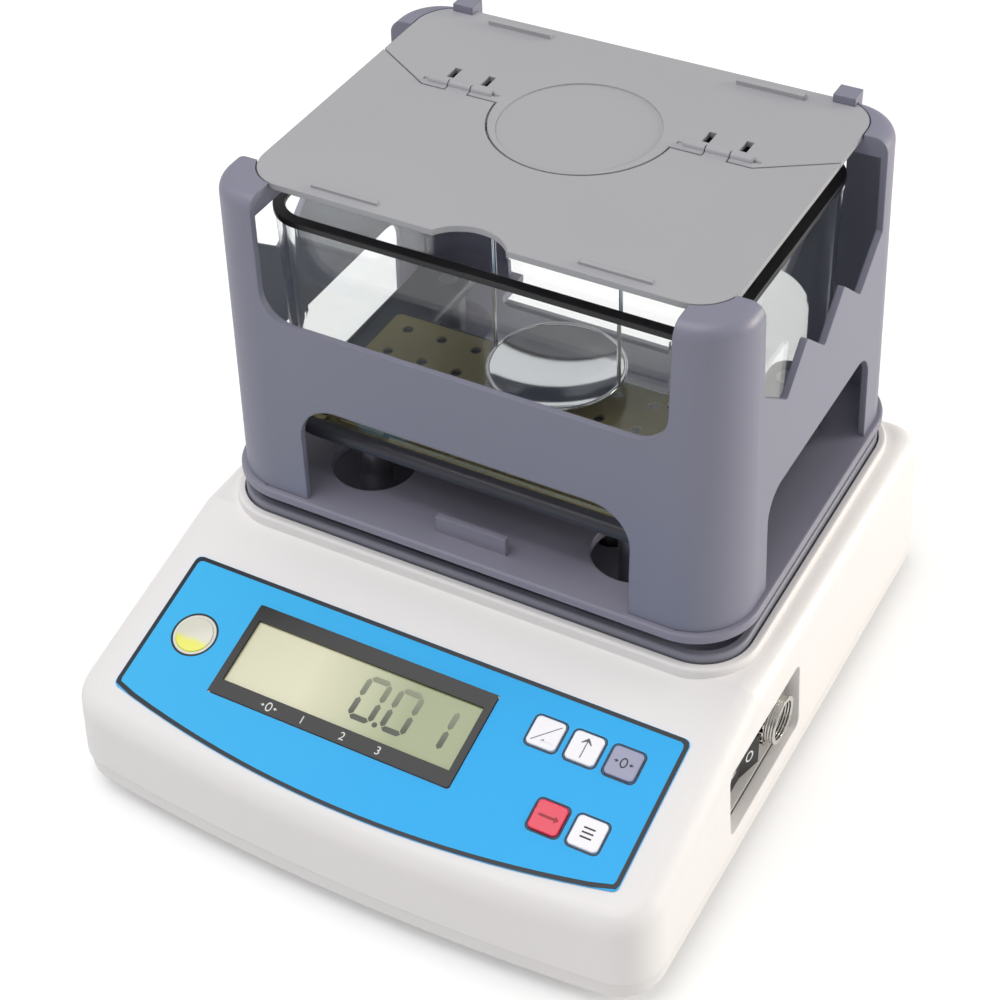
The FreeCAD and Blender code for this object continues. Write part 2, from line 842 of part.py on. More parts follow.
def open_panel(body):
    """Openings of the display, the keys and the level in the slope, and the posts of the board."""
    sketch = sketch_on_panel(body, s.deck_wall - s.panel_step)
    for x, y in display_posts:
        circle(sketch, x, y, s.screw_radius + s.board_thickness)
    pad(body, sketch, s.board_drop - s.deck_wall + s.panel_step, flipped=True)
    sketch = sketch_on_panel(body, -s.overrun / 2)
    half = s.glass_width / 2 + s.glass_gap
    half_length = s.glass_length / 2 + s.glass_gap
    rectangle(sketch, s.bezel_x - half, s.bezel_x + half, s.bezel_y - half_length,
              s.bezel_y + half_length)
    opening = s.key_size / 2 + s.key_gap
    for x, y in keys.values():
        rectangle(sketch, x - opening, x + opening, y - opening, y + opening, s.key_corner + s.key_gap)
    circle(sketch, s.level_x, s.level_y, s.level_radius)
    pocket(body, sketch, s.overrun / 2 + s.deck_wall + s.board_thickness)


# Lower shell of the base, moulded in ABS, with the bosses of the feet, screws, board and load cell


def bottom_shell():
    body = body_named("bottom_shell")
    sketch = sketch_on(body, "XY_Plane", s.ride_height)
    base_outline(sketch, s.seam_inset)
    pad(body, sketch, s.seam_height - s.ride_height)
    round_edges(body, s.base_front_corner, lambda edge: upright(edge) and edge.BoundBox.YMax < 0)
    round_edges(body, s.base_rear_corner, lambda edge: upright(edge) and edge.BoundBox.YMin > 0)
    round_edges(body, s.bottom_edge_radius, level_at(s.ride_height))
    sketch = sketch_on(body, "XY_Plane", s.seam_height)
    rectangle(sketch, -cavity_half, cavity_half, cavity_front, cavity_rear, cavity_corner)
    pocket(body, sketch, s.seam_height - floor_top)
    sketch = sketch_on(body, "XY_Plane", s.seam_height - s.lip_height)
    for inset in (s.lip_clearance, s.lip_clearance + s.lip_thickness):
        rectangle(sketch, inset - cavity_half, cavity_half - inset, cavity_front + inset,
                  cavity_rear - inset, cavity_corner - s.lip_clearance)
    pad(body, sketch, s.lip_height * 2)
    sketch = sketch_on(body, "XY_Plane", s.seam_height - s.lip_height)
    for inset in (-s.lip_clearance, s.lip_clearance + s.lip_thickness / 2):
        rectangle(sketch, inset - cavity_half, cavity_half - inset, cavity_front + inset,
                  cavity_rear - inset, cavity_corner - s.lip_clearance)
    pad(body, sketch, s.lip_height)
    raise_bosses(body)
    return body


def raise_bosses(body):
    """Bosses on the floor and the holes through them."""
    sketch = sketch_on(body, "XY_Plane", s.ride_height)
    for x, y in feet.values():
        circle(sketch, x, y, s.insert_radius + s.foot_boss_wall)
    pad(body, sketch, s.insert_height)
    sketch = sketch_on(body, "XY_Plane", s.ride_height)
    for x, y in housing_screw_places:
        circle(sketch, x, y, s.screw_boss_radius)
    pad(body, sketch, s.seam_height - s.ride_height)
    sketch = sketch_on(body, "XY_Plane", floor_top - s.panel_step)
    for x, y in main_board_corners():
        circle(sketch, x, y, s.main_board_boss_radius)
    pad(body, sketch, s.main_board_rise + s.panel_step)
    sketch = sketch_on(body, "XY_Plane", s.ride_height)
    for x, y in feet.values():
        circle(sketch, x, y, s.insert_radius)
    for x, y in housing_screw_places:
        circle(sketch, x, y, s.screw_radius + s.screw_clearance)
    pocket(body, sketch, s.insert_height + s.overrun, flipped=True)
    sketch = sketch_on(body, "XY_Plane", s.ride_height)
    for x, y in housing_screw_places:
        circle(sketch, x, y, s.screw_head_radius + s.screw_clearance)
    pocket(body, sketch, s.screw_head_height + s.screw_head_depth, flipped=True)


def main_board_corners():
    reach_x = s.main_board_width / 2 - s.main_board_inset
    reach_y = s.main_board_length / 2 - s.main_board_inset
    return [(s.main_board_x + x, s.main_board_y + y) for x in (-reach_x, reach_x)
            for y in (-reach_y, reach_y)]


# Levelling foot: knurled knob moulded on a threaded stud, which turns in a brass insert


def levelling_foot(name, x, y):
    body = body_named(name)
    sketch = sketch_on(body, "XY_Plane")
    circle(sketch, x, y, s.foot_radius)
    pad(body, sketch, s.foot_knob_height)
    round_edges(body, s.foot_edge, lambda edge: near(edge.BoundBox.ZLength, 0))
    sketch = sketch_on(body, "XY_Plane", s.foot_knob_height - s.panel_step)
    circle(sketch, x, y, s.foot_stud_radius)
    pad(body, sketch, s.foot_stud_length + s.panel_step)
    sketch = sketch_on(body, "XY_Plane", s.foot_edge)
    for index in range(SCALLOPS):
        angle = 2 * math.pi * index / SCALLOPS
        reach = s.foot_radius + s.foot_scallop_radius / 2
        circle(sketch, x + reach * math.cos(angle), y + reach * math.sin(angle), s.foot_scallop_radius)
    pocket(body, sketch, s.foot_knob_height, flipped=True)


def foot_inserts():
    pieces = []
    for x, y in feet.values():
        outer = cylinder(x, y, s.ride_height, s.insert_radius, s.insert_height)
        bore = cylinder(x, y, ZERO, s.foot_stud_radius + s.insert_clearance,
                        s.ride_height + s.insert_height + s.overrun)
        pieces.append(cut(outer, bore))
    node("foot_inserts", grouped(pieces))


# Pan-head screws that close the base from below


def housing_screws():
    head_low = s.ride_height + s.screw_head_depth
    pieces = []
    for x, y in housing_screw_places:
        head = cylinder(x, y, head_low, s.screw_head_radius, s.screw_head_height)
        shank = cylinder(x, y, head_low, s.screw_radius, s.screw_length)
        pieces.append(fused([head, shank]))
    node("housing_screws", grouped(pieces))


# Aluminium single-point load cell with its binocular cut-out, fixed at the rear end on a block


def load_cell():
    body = body_named("load_cell")
    sketch = sketch_on(body, "YZ_Plane")
    rectangle(sketch, cell_front, cell_rear, cell_low, cell_top)
    pad(body, sketch, s.cell_width, both_ways=True)
    middle = cell_low + s.cell_height / 2
    bore_length = s.cell_width + s.overrun
    for side in (-1, 1):
        sketch = sketch_on(body, "YZ_Plane")
        circle(sketch, s.tower_y + s.cell_hole_spacing / 2 * side, middle, s.cell_hole_radius)
        pocket(body, sketch, bore_length, both_ways=True)
    sketch = sketch_on(body, "YZ_Plane")
    rectangle(sketch, s.tower_y - s.cell_hole_spacing / 2, s.tower_y + s.cell_hole_spacing / 2,
              middle - s.cell_slot_height / 2, middle + s.cell_slot_height / 2)
    pocket(body, sketch, bore_length, both_ways=True)
    sketch = sketch_on(body, "XY_Plane", cell_low)
    for x, y in cell_screw_places(1) + cell_screw_places(-1):
        circle(sketch, x, y, s.cell_screw_radius)
    pocket(body, sketch, s.cell_height + s.overrun, flipped=True)


def cell_screw_places(end):
    """Two screws at the fixed rear end (1) or at the free front end (-1)."""
    y = s.tower_y + (s.cell_length / 2 - s.cell_end / 2) * end
    return [(ZERO, y - s.cell_screw_spacing / 2), (ZERO, y + s.cell_screw_spacing / 2)]


def load_cell_mount():
    body = body_named("load_cell_mount")
    sketch = sketch_on(body, "XY_Plane", floor_top)
    rectangle(sketch, -s.mount_width / 2, s.mount_width / 2, cell_rear - s.cell_end, cell_rear,
              s.bottom_edge_radius)
    pad(body, sketch, s.mount_height)
    sketch = sketch_on(body, "XY_Plane", floor_top)
    for x, y in cell_screw_places(1):
        circle(sketch, x, y, s.cell_screw_radius)
    pocket(body, sketch, s.mount_height + s.overrun, flipped=True)


def load_cell_screws():
    pieces = []
    for x, y in cell_screw_places(1):
        head = cylinder(x, y, cell_top, s.cell_screw_head_radius, s.cell_screw_head_height)
        shank = cylinder(x, y, floor_top, s.cell_screw_radius, s.mount_height + s.cell_height)
        pieces.append(fused([head, shank]))
    for x, y in cell_screw_places(-1):
        shank_low = cell_low - s.cell_screw_head_height
        head = cylinder(x, y, shank_low, s.cell_screw_head_radius, s.cell_screw_head_height)
        shank = cylinder(x, y, shank_low, s.cell_screw_radius,
                         s.cell_screw_head_height + s.cell_height + s.carrier_gap)
        pieces.append(fused([head, shank]))
    node("load_cell_screws", grouped(pieces))


# Cast carrier on the load cell's free end, whose four stems reach through the deck to the platform


def platform_carrier():
    low = cell_top + s.carrier_gap
    body = body_named("platform_carrier")
    sketch = sketch_on(body, "XY_Plane", low)
    half = s.stem_x + s.carrier_margin
    rectangle(sketch, -half, half, cell_front, s.tower_y + s.stem_y + s.carrier_margin, s.carrier_margin)
    pad(body, sketch, s.carrier_thickness)
    sketch = sketch_on(body, "XY_Plane", cell_top)
    rectangle(sketch, -s.cell_width / 2, s.cell_width / 2, cell_front, cell_front + s.cell_end)
    pad(body, sketch, s.carrier_gap + s.carrier_thickness)
    sketch = sketch_on(body, "XY_Plane", low)
    for x, y in stem_places:
        circle(sketch, x, y, s.stem_radius)
    pad(body, sketch, plate_low - low)
    sketch = sketch_on(body, "XY_Plane", cell_top)
    for x, y in cell_screw_places(-1):
        circle(sketch, x, y, s.cell_screw_radius)
    pocket(body, sketch, s.carrier_gap, flipped=True)


def main_board():
    low = floor_top + s.main_board_rise
    x0 = s.main_board_x - s.main_board_width / 2
    y0 = s.main_board_y - s.main_board_length / 2
    top = low + s.board_thickness
    sheet_part = block(x0, y0, low, s.main_board_width, s.main_board_length, s.board_thickness)
    chip_x = s.main_board_x - s.chip_size / 2
    chips = []
    for step in (-2, 0.5):
        chip_y = s.main_board_y + s.chip_size * step
        chips.append(block(chip_x, chip_y, top, s.chip_size, s.chip_size, s.chip_height))
    terminal = block(x0 + s.main_board_inset * 3, y0, top, s.terminal_length, s.main_board_inset * 2,
                     s.terminal_height)
    node("main_board", fused([sheet_part, terminal] + chips))


# Control panel film with its dark outline, and the display behind it


def panel_overlay():
    body = body_named("panel_overlay")
    sketch = sketch_on(body, "XY_Plane")
    half = s.panel_width / 2
    outline(sketch, [(-half, -s.panel_side_length, arc_radius(half, s.panel_bow), 1),
                     (half, -s.panel_side_length), (half, ZERO), (-half, ZERO)])
    pad(body, sketch, s.panel_thickness)
    round_edges(body, s.panel_corner, upright_line)
    sketch = sketch_on(body, "XY_Plane", s.overrun)
    half_bezel = s.bezel_width / 2 + s.glass_gap
    half_length = s.bezel_length / 2 + s.glass_gap
    rectangle(sketch, s.bezel_x - half_bezel, s.bezel_x + half_bezel, s.bezel_y - half_length,
              s.bezel_y + half_length)
    opening = s.key_size / 2 + s.key_gap
    for x, y in keys.values():
        rectangle(sketch, x - opening, x + opening, y - opening, y + opening, s.key_corner + s.key_gap)
    circle(sketch, s.level_x, s.level_y, s.level_radius + s.glass_gap)
    pocket(body, sketch, s.overrun * 2)
    seat_on_panel(body)


def upright_line(edge):
    return upright(edge) and edge.Curve.TypeId == "Part::GeomLine"


def display_pieces():
    x0 = s.bezel_x - s.bezel_width / 2
    x1 = s.bezel_x + s.bezel_width / 2
    y0 = s.bezel_y - s.bezel_length / 2
    y1 = s.bezel_y + s.bezel_length / 2
    bezel = slab("display_bezel", x0, x1, y0, y1, ZERO, s.bezel_thickness, s.panel_corner / 2)
    sketch = sketch_on(bezel, "XY_Plane", s.overrun)
    gx0 = s.bezel_x - s.glass_width / 2
    gx1 = s.bezel_x + s.glass_width / 2
    gy0 = s.bezel_y - s.glass_length / 2
    gy1 = s.bezel_y + s.glass_length / 2
    rectangle(sketch, gx0, gx1, gy0, gy1)
    pocket(bezel, sketch, s.overrun * 2)
    seat_on_panel(bezel)
    glass = slab("display_glass", gx0, gx1, gy0, gy1, -s.glass_thickness, s.glass_thickness)
    seat_on_panel(glass)
    margin = s.backlight_margin
    backlight = slab("display_backlight", gx0 + margin, gx1 - margin, gy0 + margin, gy1 - margin,
                     -s.board_drop, s.board_drop - s.glass_thickness)
    seat_on_panel(backlight)
    board = slab("display_board", -s.board_left, s.board_right, s.panel_corner - s.panel_side_length,
                 -s.panel_corner, -board_depth, s.board_thickness)
    seat_on_panel(board)


# Square keys with a flange that the housing keeps in, over tact switches on the board


def key_cap(name, x, y):
    body = body_named(name)
    half = s.key_size / 2
    wide = half + s.key_flange
    sketch = sketch_on(body, "XY_Plane", -key_low)
    rectangle(sketch, x - wide, x + wide, y - wide, y + wide, s.key_corner)
    pad(body, sketch, s.key_flange_height)
    sketch = sketch_on(body, "XY_Plane", -key_low)
    rectangle(sketch, x - half, x + half, y - half, y + half, s.key_corner)
    pad(body, sketch, key_low + s.key_height)
    round_edges(body, s.key_edge_radius, level_at(s.key_height))
    seat_on_panel(body)


def key_switches():
    """Tact switches, each a square case with a round plunger just under its key."""
    plunger_top = key_low + s.key_travel + s.key_stop_gap
    case_top = plunger_top + s.key_travel
    reach = s.key_switch_size / 2
    switches = []
    for x, y in keys.values():
        case = block(x - reach, y - reach, -s.board_drop, reach * 2, reach * 2, s.board_drop - case_top)
        plunger = cylinder(x, y, -s.board_drop, s.key_plunger_radius, s.board_drop - plunger_top)
        switches.append(fused([case, plunger]))
    group = grouped(switches)
    seat_on_panel(group)
    node("key_switches", group)


# Round spirit level: white cup and domed clear lens


def spirit_level():
    cup = body_named("spirit_level_cup")
    sketch = sketch_on(cup, "XY_Plane", -s.level_depth)
    circle(sketch, s.level_x, s.level_y, s.level_radius)
    pad(cup, sketch, s.level_depth + s.panel_thickness)
    sketch = sketch_on(cup, "XY_Plane", s.overrun)
    circle(sketch, s.level_x, s.level_y, s.level_radius - s.level_wall)
    pocket(cup, sketch, s.overrun + s.level_depth - s.level_wall)
    seat_on_panel(cup)
    lens = body_named("spirit_level_lens")
    sketch = sketch_on(lens, "XY_Plane", s.level_wall - s.level_depth)
    circle(sketch, s.level_x, s.level_y, s.level_radius - s.level_wall)
    pad(lens, sketch, s.level_depth - s.level_wall + s.level_rise)
    round_edges(lens, s.level_rise / 2, level_at(s.level_rise))
    seat_on_panel(lens)


# Power switch: flanged case in the pocket's floor and a rocker on a cross pin


def power_switch():
    flange_x = s.pocket_floor_x
    y0 = s.switch_y - s.switch_length / 2
    y1 = s.switch_y + s.switch_length / 2
    z0 = s.switch_height - s.switch_width / 2
    z1 = s.switch_height + s.switch_width / 2
    margin = s.switch_flange_margin
    case = body_named("switch_body")
    sketch = sketch_on(case, "YZ_Plane", flange_x)
    rectangle(sketch, y0 - margin, y1 + margin, z0 - margin, z1 + margin, margin)
    pad(case, sketch, s.switch_flange)
    sketch = sketch_on(case, "YZ_Plane", flange_x - s.switch_depth)
    rectangle(sketch, y0, y1, z0, z1)
    pad(case, sketch, s.switch_depth)
    sketch = sketch_on(case, "YZ_Plane", flange_x + s.switch_flange + s.overrun)
    rectangle(sketch, y0 + margin, y1 - margin, z0 + margin, z1 - margin)
    pocket(case, sketch, s.overrun + s.switch_flange + s.switch_depth / 2)
    sketch = sketch_on(case, "XY_Plane", z0)
    circle(sketch, flange_x, s.switch_y, s.rocker_pin_radius)
    pad(case, sketch, s.switch_width)
    rocker = body_named("switch_rocker")
    gap = margin + s.rocker_clearance
    sketch = sketch_on(rocker, "XY_Plane", z0 + gap)
    outer = flange_x + s.switch_flange
    half = s.switch_length / 2 - gap
    root = half - s.rocker_root_inset
    face = outer + s.rocker_proud
    outline(sketch, [(flange_x - s.rocker_rise, s.switch_y - root), (outer, s.switch_y - half),
                     (face, s.switch_y - half + s.rocker_clearance), (face, s.switch_y),
                     (face + half * tangent(s.rocker_angle), s.switch_y + half - s.rocker_clearance),
                     (outer, s.switch_y + half), (flange_x - s.rocker_rise, s.switch_y + root)])
    pad(rocker, sketch, s.switch_width - gap * 2)
    sketch = sketch_on(rocker, "XY_Plane", z0)
    circle(sketch, flange_x, s.switch_y, s.rocker_pin_radius + s.insert_clearance)
    pocket(rocker, sketch, s.switch_width + s.overrun, flipped=True)


# Round metal data socket: turned shell with a flange, black insert, gold pins


def data_socket():
    x = s.pocket_floor_x
    z = s.switch_height
    flange = cylinder(x, s.socket_y, z, s.socket_flange_radius, s.socket_flange, "x")
    barrel = cylinder(x - s.socket_depth, s.socket_y, z, s.socket_radius,
                      s.socket_depth + s.socket_rise, "x")
    bore = cylinder(x - s.overrun * 2, s.socket_y, z, s.socket_radius - s.socket_wall,
                    s.overrun * 4, "x")
    node("socket_shell", cut(fused([flange, barrel]), bore))
    insert = cylinder(x - s.socket_depth, s.socket_y, z, s.socket_radius - s.socket_wall,
                      s.socket_depth, "x")
    pins = []
    holes = []
    for index in range(SOCKET_PINS):
        angle = math.pi / 4 + 2 * math.pi * index / SOCKET_PINS
        y = s.socket_y + s.socket_pin_circle * math.cos(angle)
        height = z + s.socket_pin_circle * math.sin(angle)
        length = s.socket_depth + s.socket_pin_rise
        pins.append(cylinder(x - s.socket_depth, y, height, s.socket_pin_radius, length, "x"))
        holes.append(cylinder(x - s.socket_depth, y, height, s.socket_pin_radius, length, "x"))
    node("socket_insert", cut(insert, grouped(holes)))
    node("socket_pins", grouped(pins))


# Grey tray with a raised lip, seated in the recess of the deck


def lower_tray():
    half = s.tray_width / 2
    depth = s.tray_depth / 2
    body = slab("lower_tray", -half, half, s.tray_y - depth, s.tray_y + depth, seat_height,
                s.tray_height, s.tray_corner)
    round_edges(body, s.tray_edge_radius, level_at(seat_height + s.tray_height))
    rim = s.tray_rim
    sketch = sketch_on(body, "XY_Plane", seat_height + s.tray_height + s.overrun)
    rectangle(sketch, rim - half, half - rim, s.tray_y - depth + rim, s.tray_y + depth - rim,
              s.tray_corner - rim)
    pocket(body, sketch, s.tray_height - s.tray_floor + s.overrun)
    sketch = sketch_on(body, "XY_Plane", seat_height + s.tray_height + s.overrun)
    for x, y in stem_places:
        circle(sketch, x, y, s.stem_radius + s.stem_clearance)
    for x, y in post_places:
        circle(sketch, x, y, s.post_radius + s.peg_clearance)
    pocket(body, sketch, s.tray_height + s.overrun * 2)


# Weighed platform plate: four large holes let the tank posts through without touching


def platform_plate():
    half = tower_half_width + s.plate_margin
    y0 = tower_front - s.plate_margin
    y1 = tower_rear + s.plate_margin
    body = slab("platform_plate", -half, half, y0, y1, plate_low, s.plate_thickness,
                s.tower_corner + s.plate_margin)
    round_edges(body, s.plate_edge_radius, lambda edge: near(edge.BoundBox.ZLength, 0))
    sketch = sketch_on(body, "XY_Plane", plate_low + s.plate_thickness / 2)
    rib = s.plate_rib_thickness / 2
    rectangle(sketch, -s.plate_rib_width / 2, s.plate_rib_width / 2, s.plate_rib_y - rib,
              s.plate_rib_y + rib)
    pad(body, sketch, s.plate_thickness / 2 + s.plate_rib_height)
    sketch = sketch_on(body, "XY_Plane", s.plate_top_height + s.overrun)
    for x, y in post_places:
        circle(sketch, x, y, s.plate_hole_radius)
    for x, y in peg_places():
        circle(sketch, x, y, s.peg_radius + s.peg_clearance)
    pocket(body, sketch, s.plate_thickness + s.overrun * 2)
    sketch = sketch_on(body, "XY_Plane", s.plate_top_height + s.overrun)
    notch = s.plate_notch_width / 2
    bend = s.plate_notch_corner
    outline(sketch, [(bend - notch, s.plate_notch_front), (notch - bend, s.plate_notch_front, bend, 1),
                     (notch, s.plate_notch_front + bend), (notch, y1 + s.overrun),
                     (-notch, y1 + s.overrun), (-notch, s.plate_notch_front + bend, bend, 1)])
    pocket(body, sketch, s.plate_thickness + s.overrun * 2)


def peg_places():
    inset = s.tower_wall / 2
    return [(x, y) for y in (tower_front + inset, tower_rear - inset) for x in (-s.peg_x, s.peg_x)]


# Four-column tower: drafted shell with windows on all sides, ledges that carry the lids at the corners,
# and pegs that locate it on the platform. Its zigzag side windows and arches are the showpiece.


def tower_frame():
    body = slab("tower_frame", -tower_half_width, tower_half_width, tower_front, tower_rear,
                s.plate_top_height, s.tower_height, s.tower_corner)
    bind(body.Tip, "TaperAngle", -s.tower_draft_angle)
    doc.recompute()
    round_edges(body, s.tower_top_radius, level_at(tower_top))
    sketch = sketch_on(body, "XY_Plane", s.plate_top_height)
    wall = s.tower_wall
    rectangle(sketch, wall - tower_half_width, tower_half_width - wall, tower_front + wall,
              tower_rear - wall, s.tower_corner - wall)
    pocket(body, sketch, s.tower_height - s.tower_top_thickness, flipped=True, draft=-s.tower_draft_angle)
    open_tower_top(body)
    sketch = sketch_on(body, "XZ_Plane", -s.tower_y)
    front_window(sketch)
    pocket(body, sketch, s.tower_depth + s.overrun, both_ways=True)
    sketch = sketch_on(body, "XZ_Plane", -s.tower_y)
    arch(sketch, ZERO, s.arch_width, s.arch_height, s.arch_corner)
    pocket(body, sketch, s.tower_depth + s.overrun, both_ways=True)
    sketch = sketch_on(body, "YZ_Plane")
    side_window(sketch)
    pocket(body, sketch, s.tower_width + s.overrun, both_ways=True)
    round_edges(body, s.side_edge_radius, on_zigzag)
    sketch = sketch_on(body, "YZ_Plane")
    arch(sketch, s.tower_y, s.side_arch_width, s.side_arch_height, s.side_arch_corner)
    pocket(body, sketch, s.tower_width + s.overrun, both_ways=True)
    add_clips_and_pegs(body)


def open_tower_top(body):
    """Recess for the lids and the octagonal opening that leaves the corner ledges."""
    gap = s.lid_clearance
    sketch = sketch_on(body, "XY_Plane", tower_top + s.overrun)
    rectangle(sketch, -lid_half - gap, lid_half + gap, s.lid_front_y - gap, s.lid_rear_y + gap,
              s.lid_corner + gap)
    pocket(body, sketch, s.overrun + s.lid_thickness)
    side = lid_half - s.ledge_inset
    front = s.lid_front_y + s.ledge_inset
    rear = s.lid_rear_y - s.ledge_inset
    slant = s.ledge_chamfer
    sketch = sketch_on(body, "XY_Plane", tower_top + s.overrun)
    outline(sketch, [(slant - side, front), (side - slant, front), (side, front + slant),
                     (side, rear - slant), (side - slant, rear), (slant - side, rear),
                     (-side, rear - slant), (-side, front + slant)])
    pocket(body, sketch, s.overrun + s.tower_top_thickness + s.tower_wall)


def front_window(sketch):
    """Wide window with a straight sill and rounded lower corners, open at the top."""
    half = s.window_width / 2
    sill = s.window_sill_height
    corner = s.window_corner
    top = tower_top + s.overrun
    outline(sketch, [(corner - half, sill), (half - corner, sill, corner, 1), (half, sill + corner),
                     (half, top), (-half, top), (-half, sill + corner, corner, 1)])


def arch(sketch, middle, width, height, corner):
    """Opening that stands on the platform, with rounded upper corners."""
    half = width / 2
    low = s.plate_top_height - s.overrun
    outline(sketch, [(middle - half, low), (middle + half, low),
                     (middle + half, height - corner, corner, 1), (middle + half - corner, height),
                     (middle - half + corner, height, corner, 1), (middle - half, height - corner)])


def side_window(sketch):
    """Side window with a zigzag sill: three notches and two peaks, open at the top."""
    half = s.side_window_width / 2
    pitch = s.side_notch_spacing
    top = tower_top + s.overrun
    middle = s.tower_y
    corners = [(middle - half, s.side_shoulder_height)]
    for step in (-1, -0.5, 0, 0.5, 1):
        height = s.side_notch_height if step in (-1, 0, 1) else s.side_peak_height
        corners.append((middle + pitch * step, height))
    corners += [(middle + half, s.side_shoulder_height), (middle + half, top), (middle - half, top)]
    outline(sketch, corners)


def on_zigzag(edge):
    """True for the short edges across the wall at the peaks and notches of the side windows."""
    heights = (s.side_notch_height, s.side_peak_height)
    along_x = near(edge.BoundBox.YLength, 0) and near(edge.BoundBox.ZLength, 0)
    return along_x and any(near(edge.Vertexes[0].Z, height.value) for height in heights)


def add_clips_and_pegs(body):
    """Clips that hold the rear lid down, and the pegs under the columns."""
    sketch = sketch_on(body, "XY_Plane", tower_top + s.clip_rise)
    half = s.clip_width / 2
    rear = s.lid_rear_y + s.lid_clearance
    for x in (-s.clip_x, s.clip_x):
        rectangle(sketch, x - half, x + half, rear, rear + s.clip_depth / 2)
    pad(body, sketch, s.clip_height, flipped=True)
    sketch = sketch_on(body, "XY_Plane", tower_top + s.clip_rise)
    for x in (-s.clip_x, s.clip_x):
        rectangle(sketch, x - half, x + half, rear - s.clip_depth / 2, rear + s.clip_depth / 2)
    pad(body, sketch, s.clip_rise, flipped=True)
    sketch = sketch_on(body, "XY_Plane", s.plate_top_height)
    for x, y in peg_places():
        circle(sketch, x, y, s.peg_radius)
    pad(body, sketch, s.peg_length, flipped=True)


# Front flap: flat moulding with a finger notch, two grip ridges and a hinge knuckle on each side


def front_lid():
    body = body_named("front_lid")
    sketch = sketch_on(body, "XY_Plane", lid_low)
    gap = s.seam_gap / 2
    edge_y = s.seam_y - gap
    wing_y = s.seam_outer_y - gap
    tongue_half = s.tongue_width / 2 + gap
    tongue = arc_radius(tongue_half, s.tongue_reach + gap)
    notch_half = s.notch_width / 2
    corner = s.lid_corner
    outline(sketch, [
        (corner - lid_half, s.lid_front_y),
        (-notch_half, s.lid_front_y, arc_radius(notch_half, s.notch_reach), -1),
        (notch_half, s.lid_front_y),
        (lid_half - corner, s.lid_front_y, corner, 1),
        (lid_half, s.lid_front_y + corner),
        (lid_half, wing_y),
        (s.seam_kink_x, edge_y),
        (tongue_half, edge_y, tongue, -1),
        (-tongue_half, edge_y),
        (-s.seam_kink_x, edge_y),
        (-lid_half, wing_y),
        (-lid_half, s.lid_front_y + corner, corner, 1),
    ])
    pad(body, sketch, s.lid_thickness)
    add_ridges(body, s.front_ridge_y, s.ridge_inner_x, s.ridge_outer_x, s.ridge_width, s.ridge_height)
    add_front_knuckles(body, edge_y)


def add_ridges(body, y, inner, outer, width, height):
    """Low ridges on the lid's top, one on each side."""
    sketch = sketch_on(body, "XY_Plane", tower_top - s.lid_thickness / 2)
    half = width / 2
    rectangle(sketch, inner, outer, y - half, y + half)
    rectangle(sketch, -outer, -inner, y - half, y + half)
    pad(body, sketch, s.lid_thickness / 2 + height)


def barrel_stock(body, spans, radius, hole):
    """Round hinge barrels along the seam, level with the lid's top, and the bore for the pin."""
    for start, end in spans:
        for side in (-1, 1):
            sketch = sketch_on(body, "YZ_Plane", start if side > 0 else -end)
            circle(sketch, s.hinge_y, tower_top, radius)
            pad(body, sketch, end - start)
    for side in (-1, 1):
        low = s.ridge_inner_x - s.hinge_bore_run_out
        high = s.ridge_outer_x + s.hinge_bore_run_out
        sketch = sketch_on(body, "YZ_Plane", low if side > 0 else -high)
        circle(sketch, s.hinge_y, tower_top, hole)
        pocket(body, sketch, high - low, flipped=True)


def add_front_knuckles(body, edge_y):
    sketch = sketch_on(body, "XY_Plane", tower_top - s.knuckle_neck)
    rectangle(sketch, s.knuckle_inner_x, s.knuckle_outer_x, edge_y - s.seam_gap, s.hinge_y)
    rectangle(sketch, -s.knuckle_outer_x, -s.knuckle_inner_x, edge_y - s.seam_gap, s.hinge_y)
    pad(body, sketch, s.knuckle_neck)
    barrel_stock(body, [(s.knuckle_inner_x, s.knuckle_outer_x)], s.barrel_radius,
                 s.hinge_pin_radius + s.hinge_clearance)


# Rear lid: carries the round spot for weighing in air on its tongue, and the fixed hinge knuckles


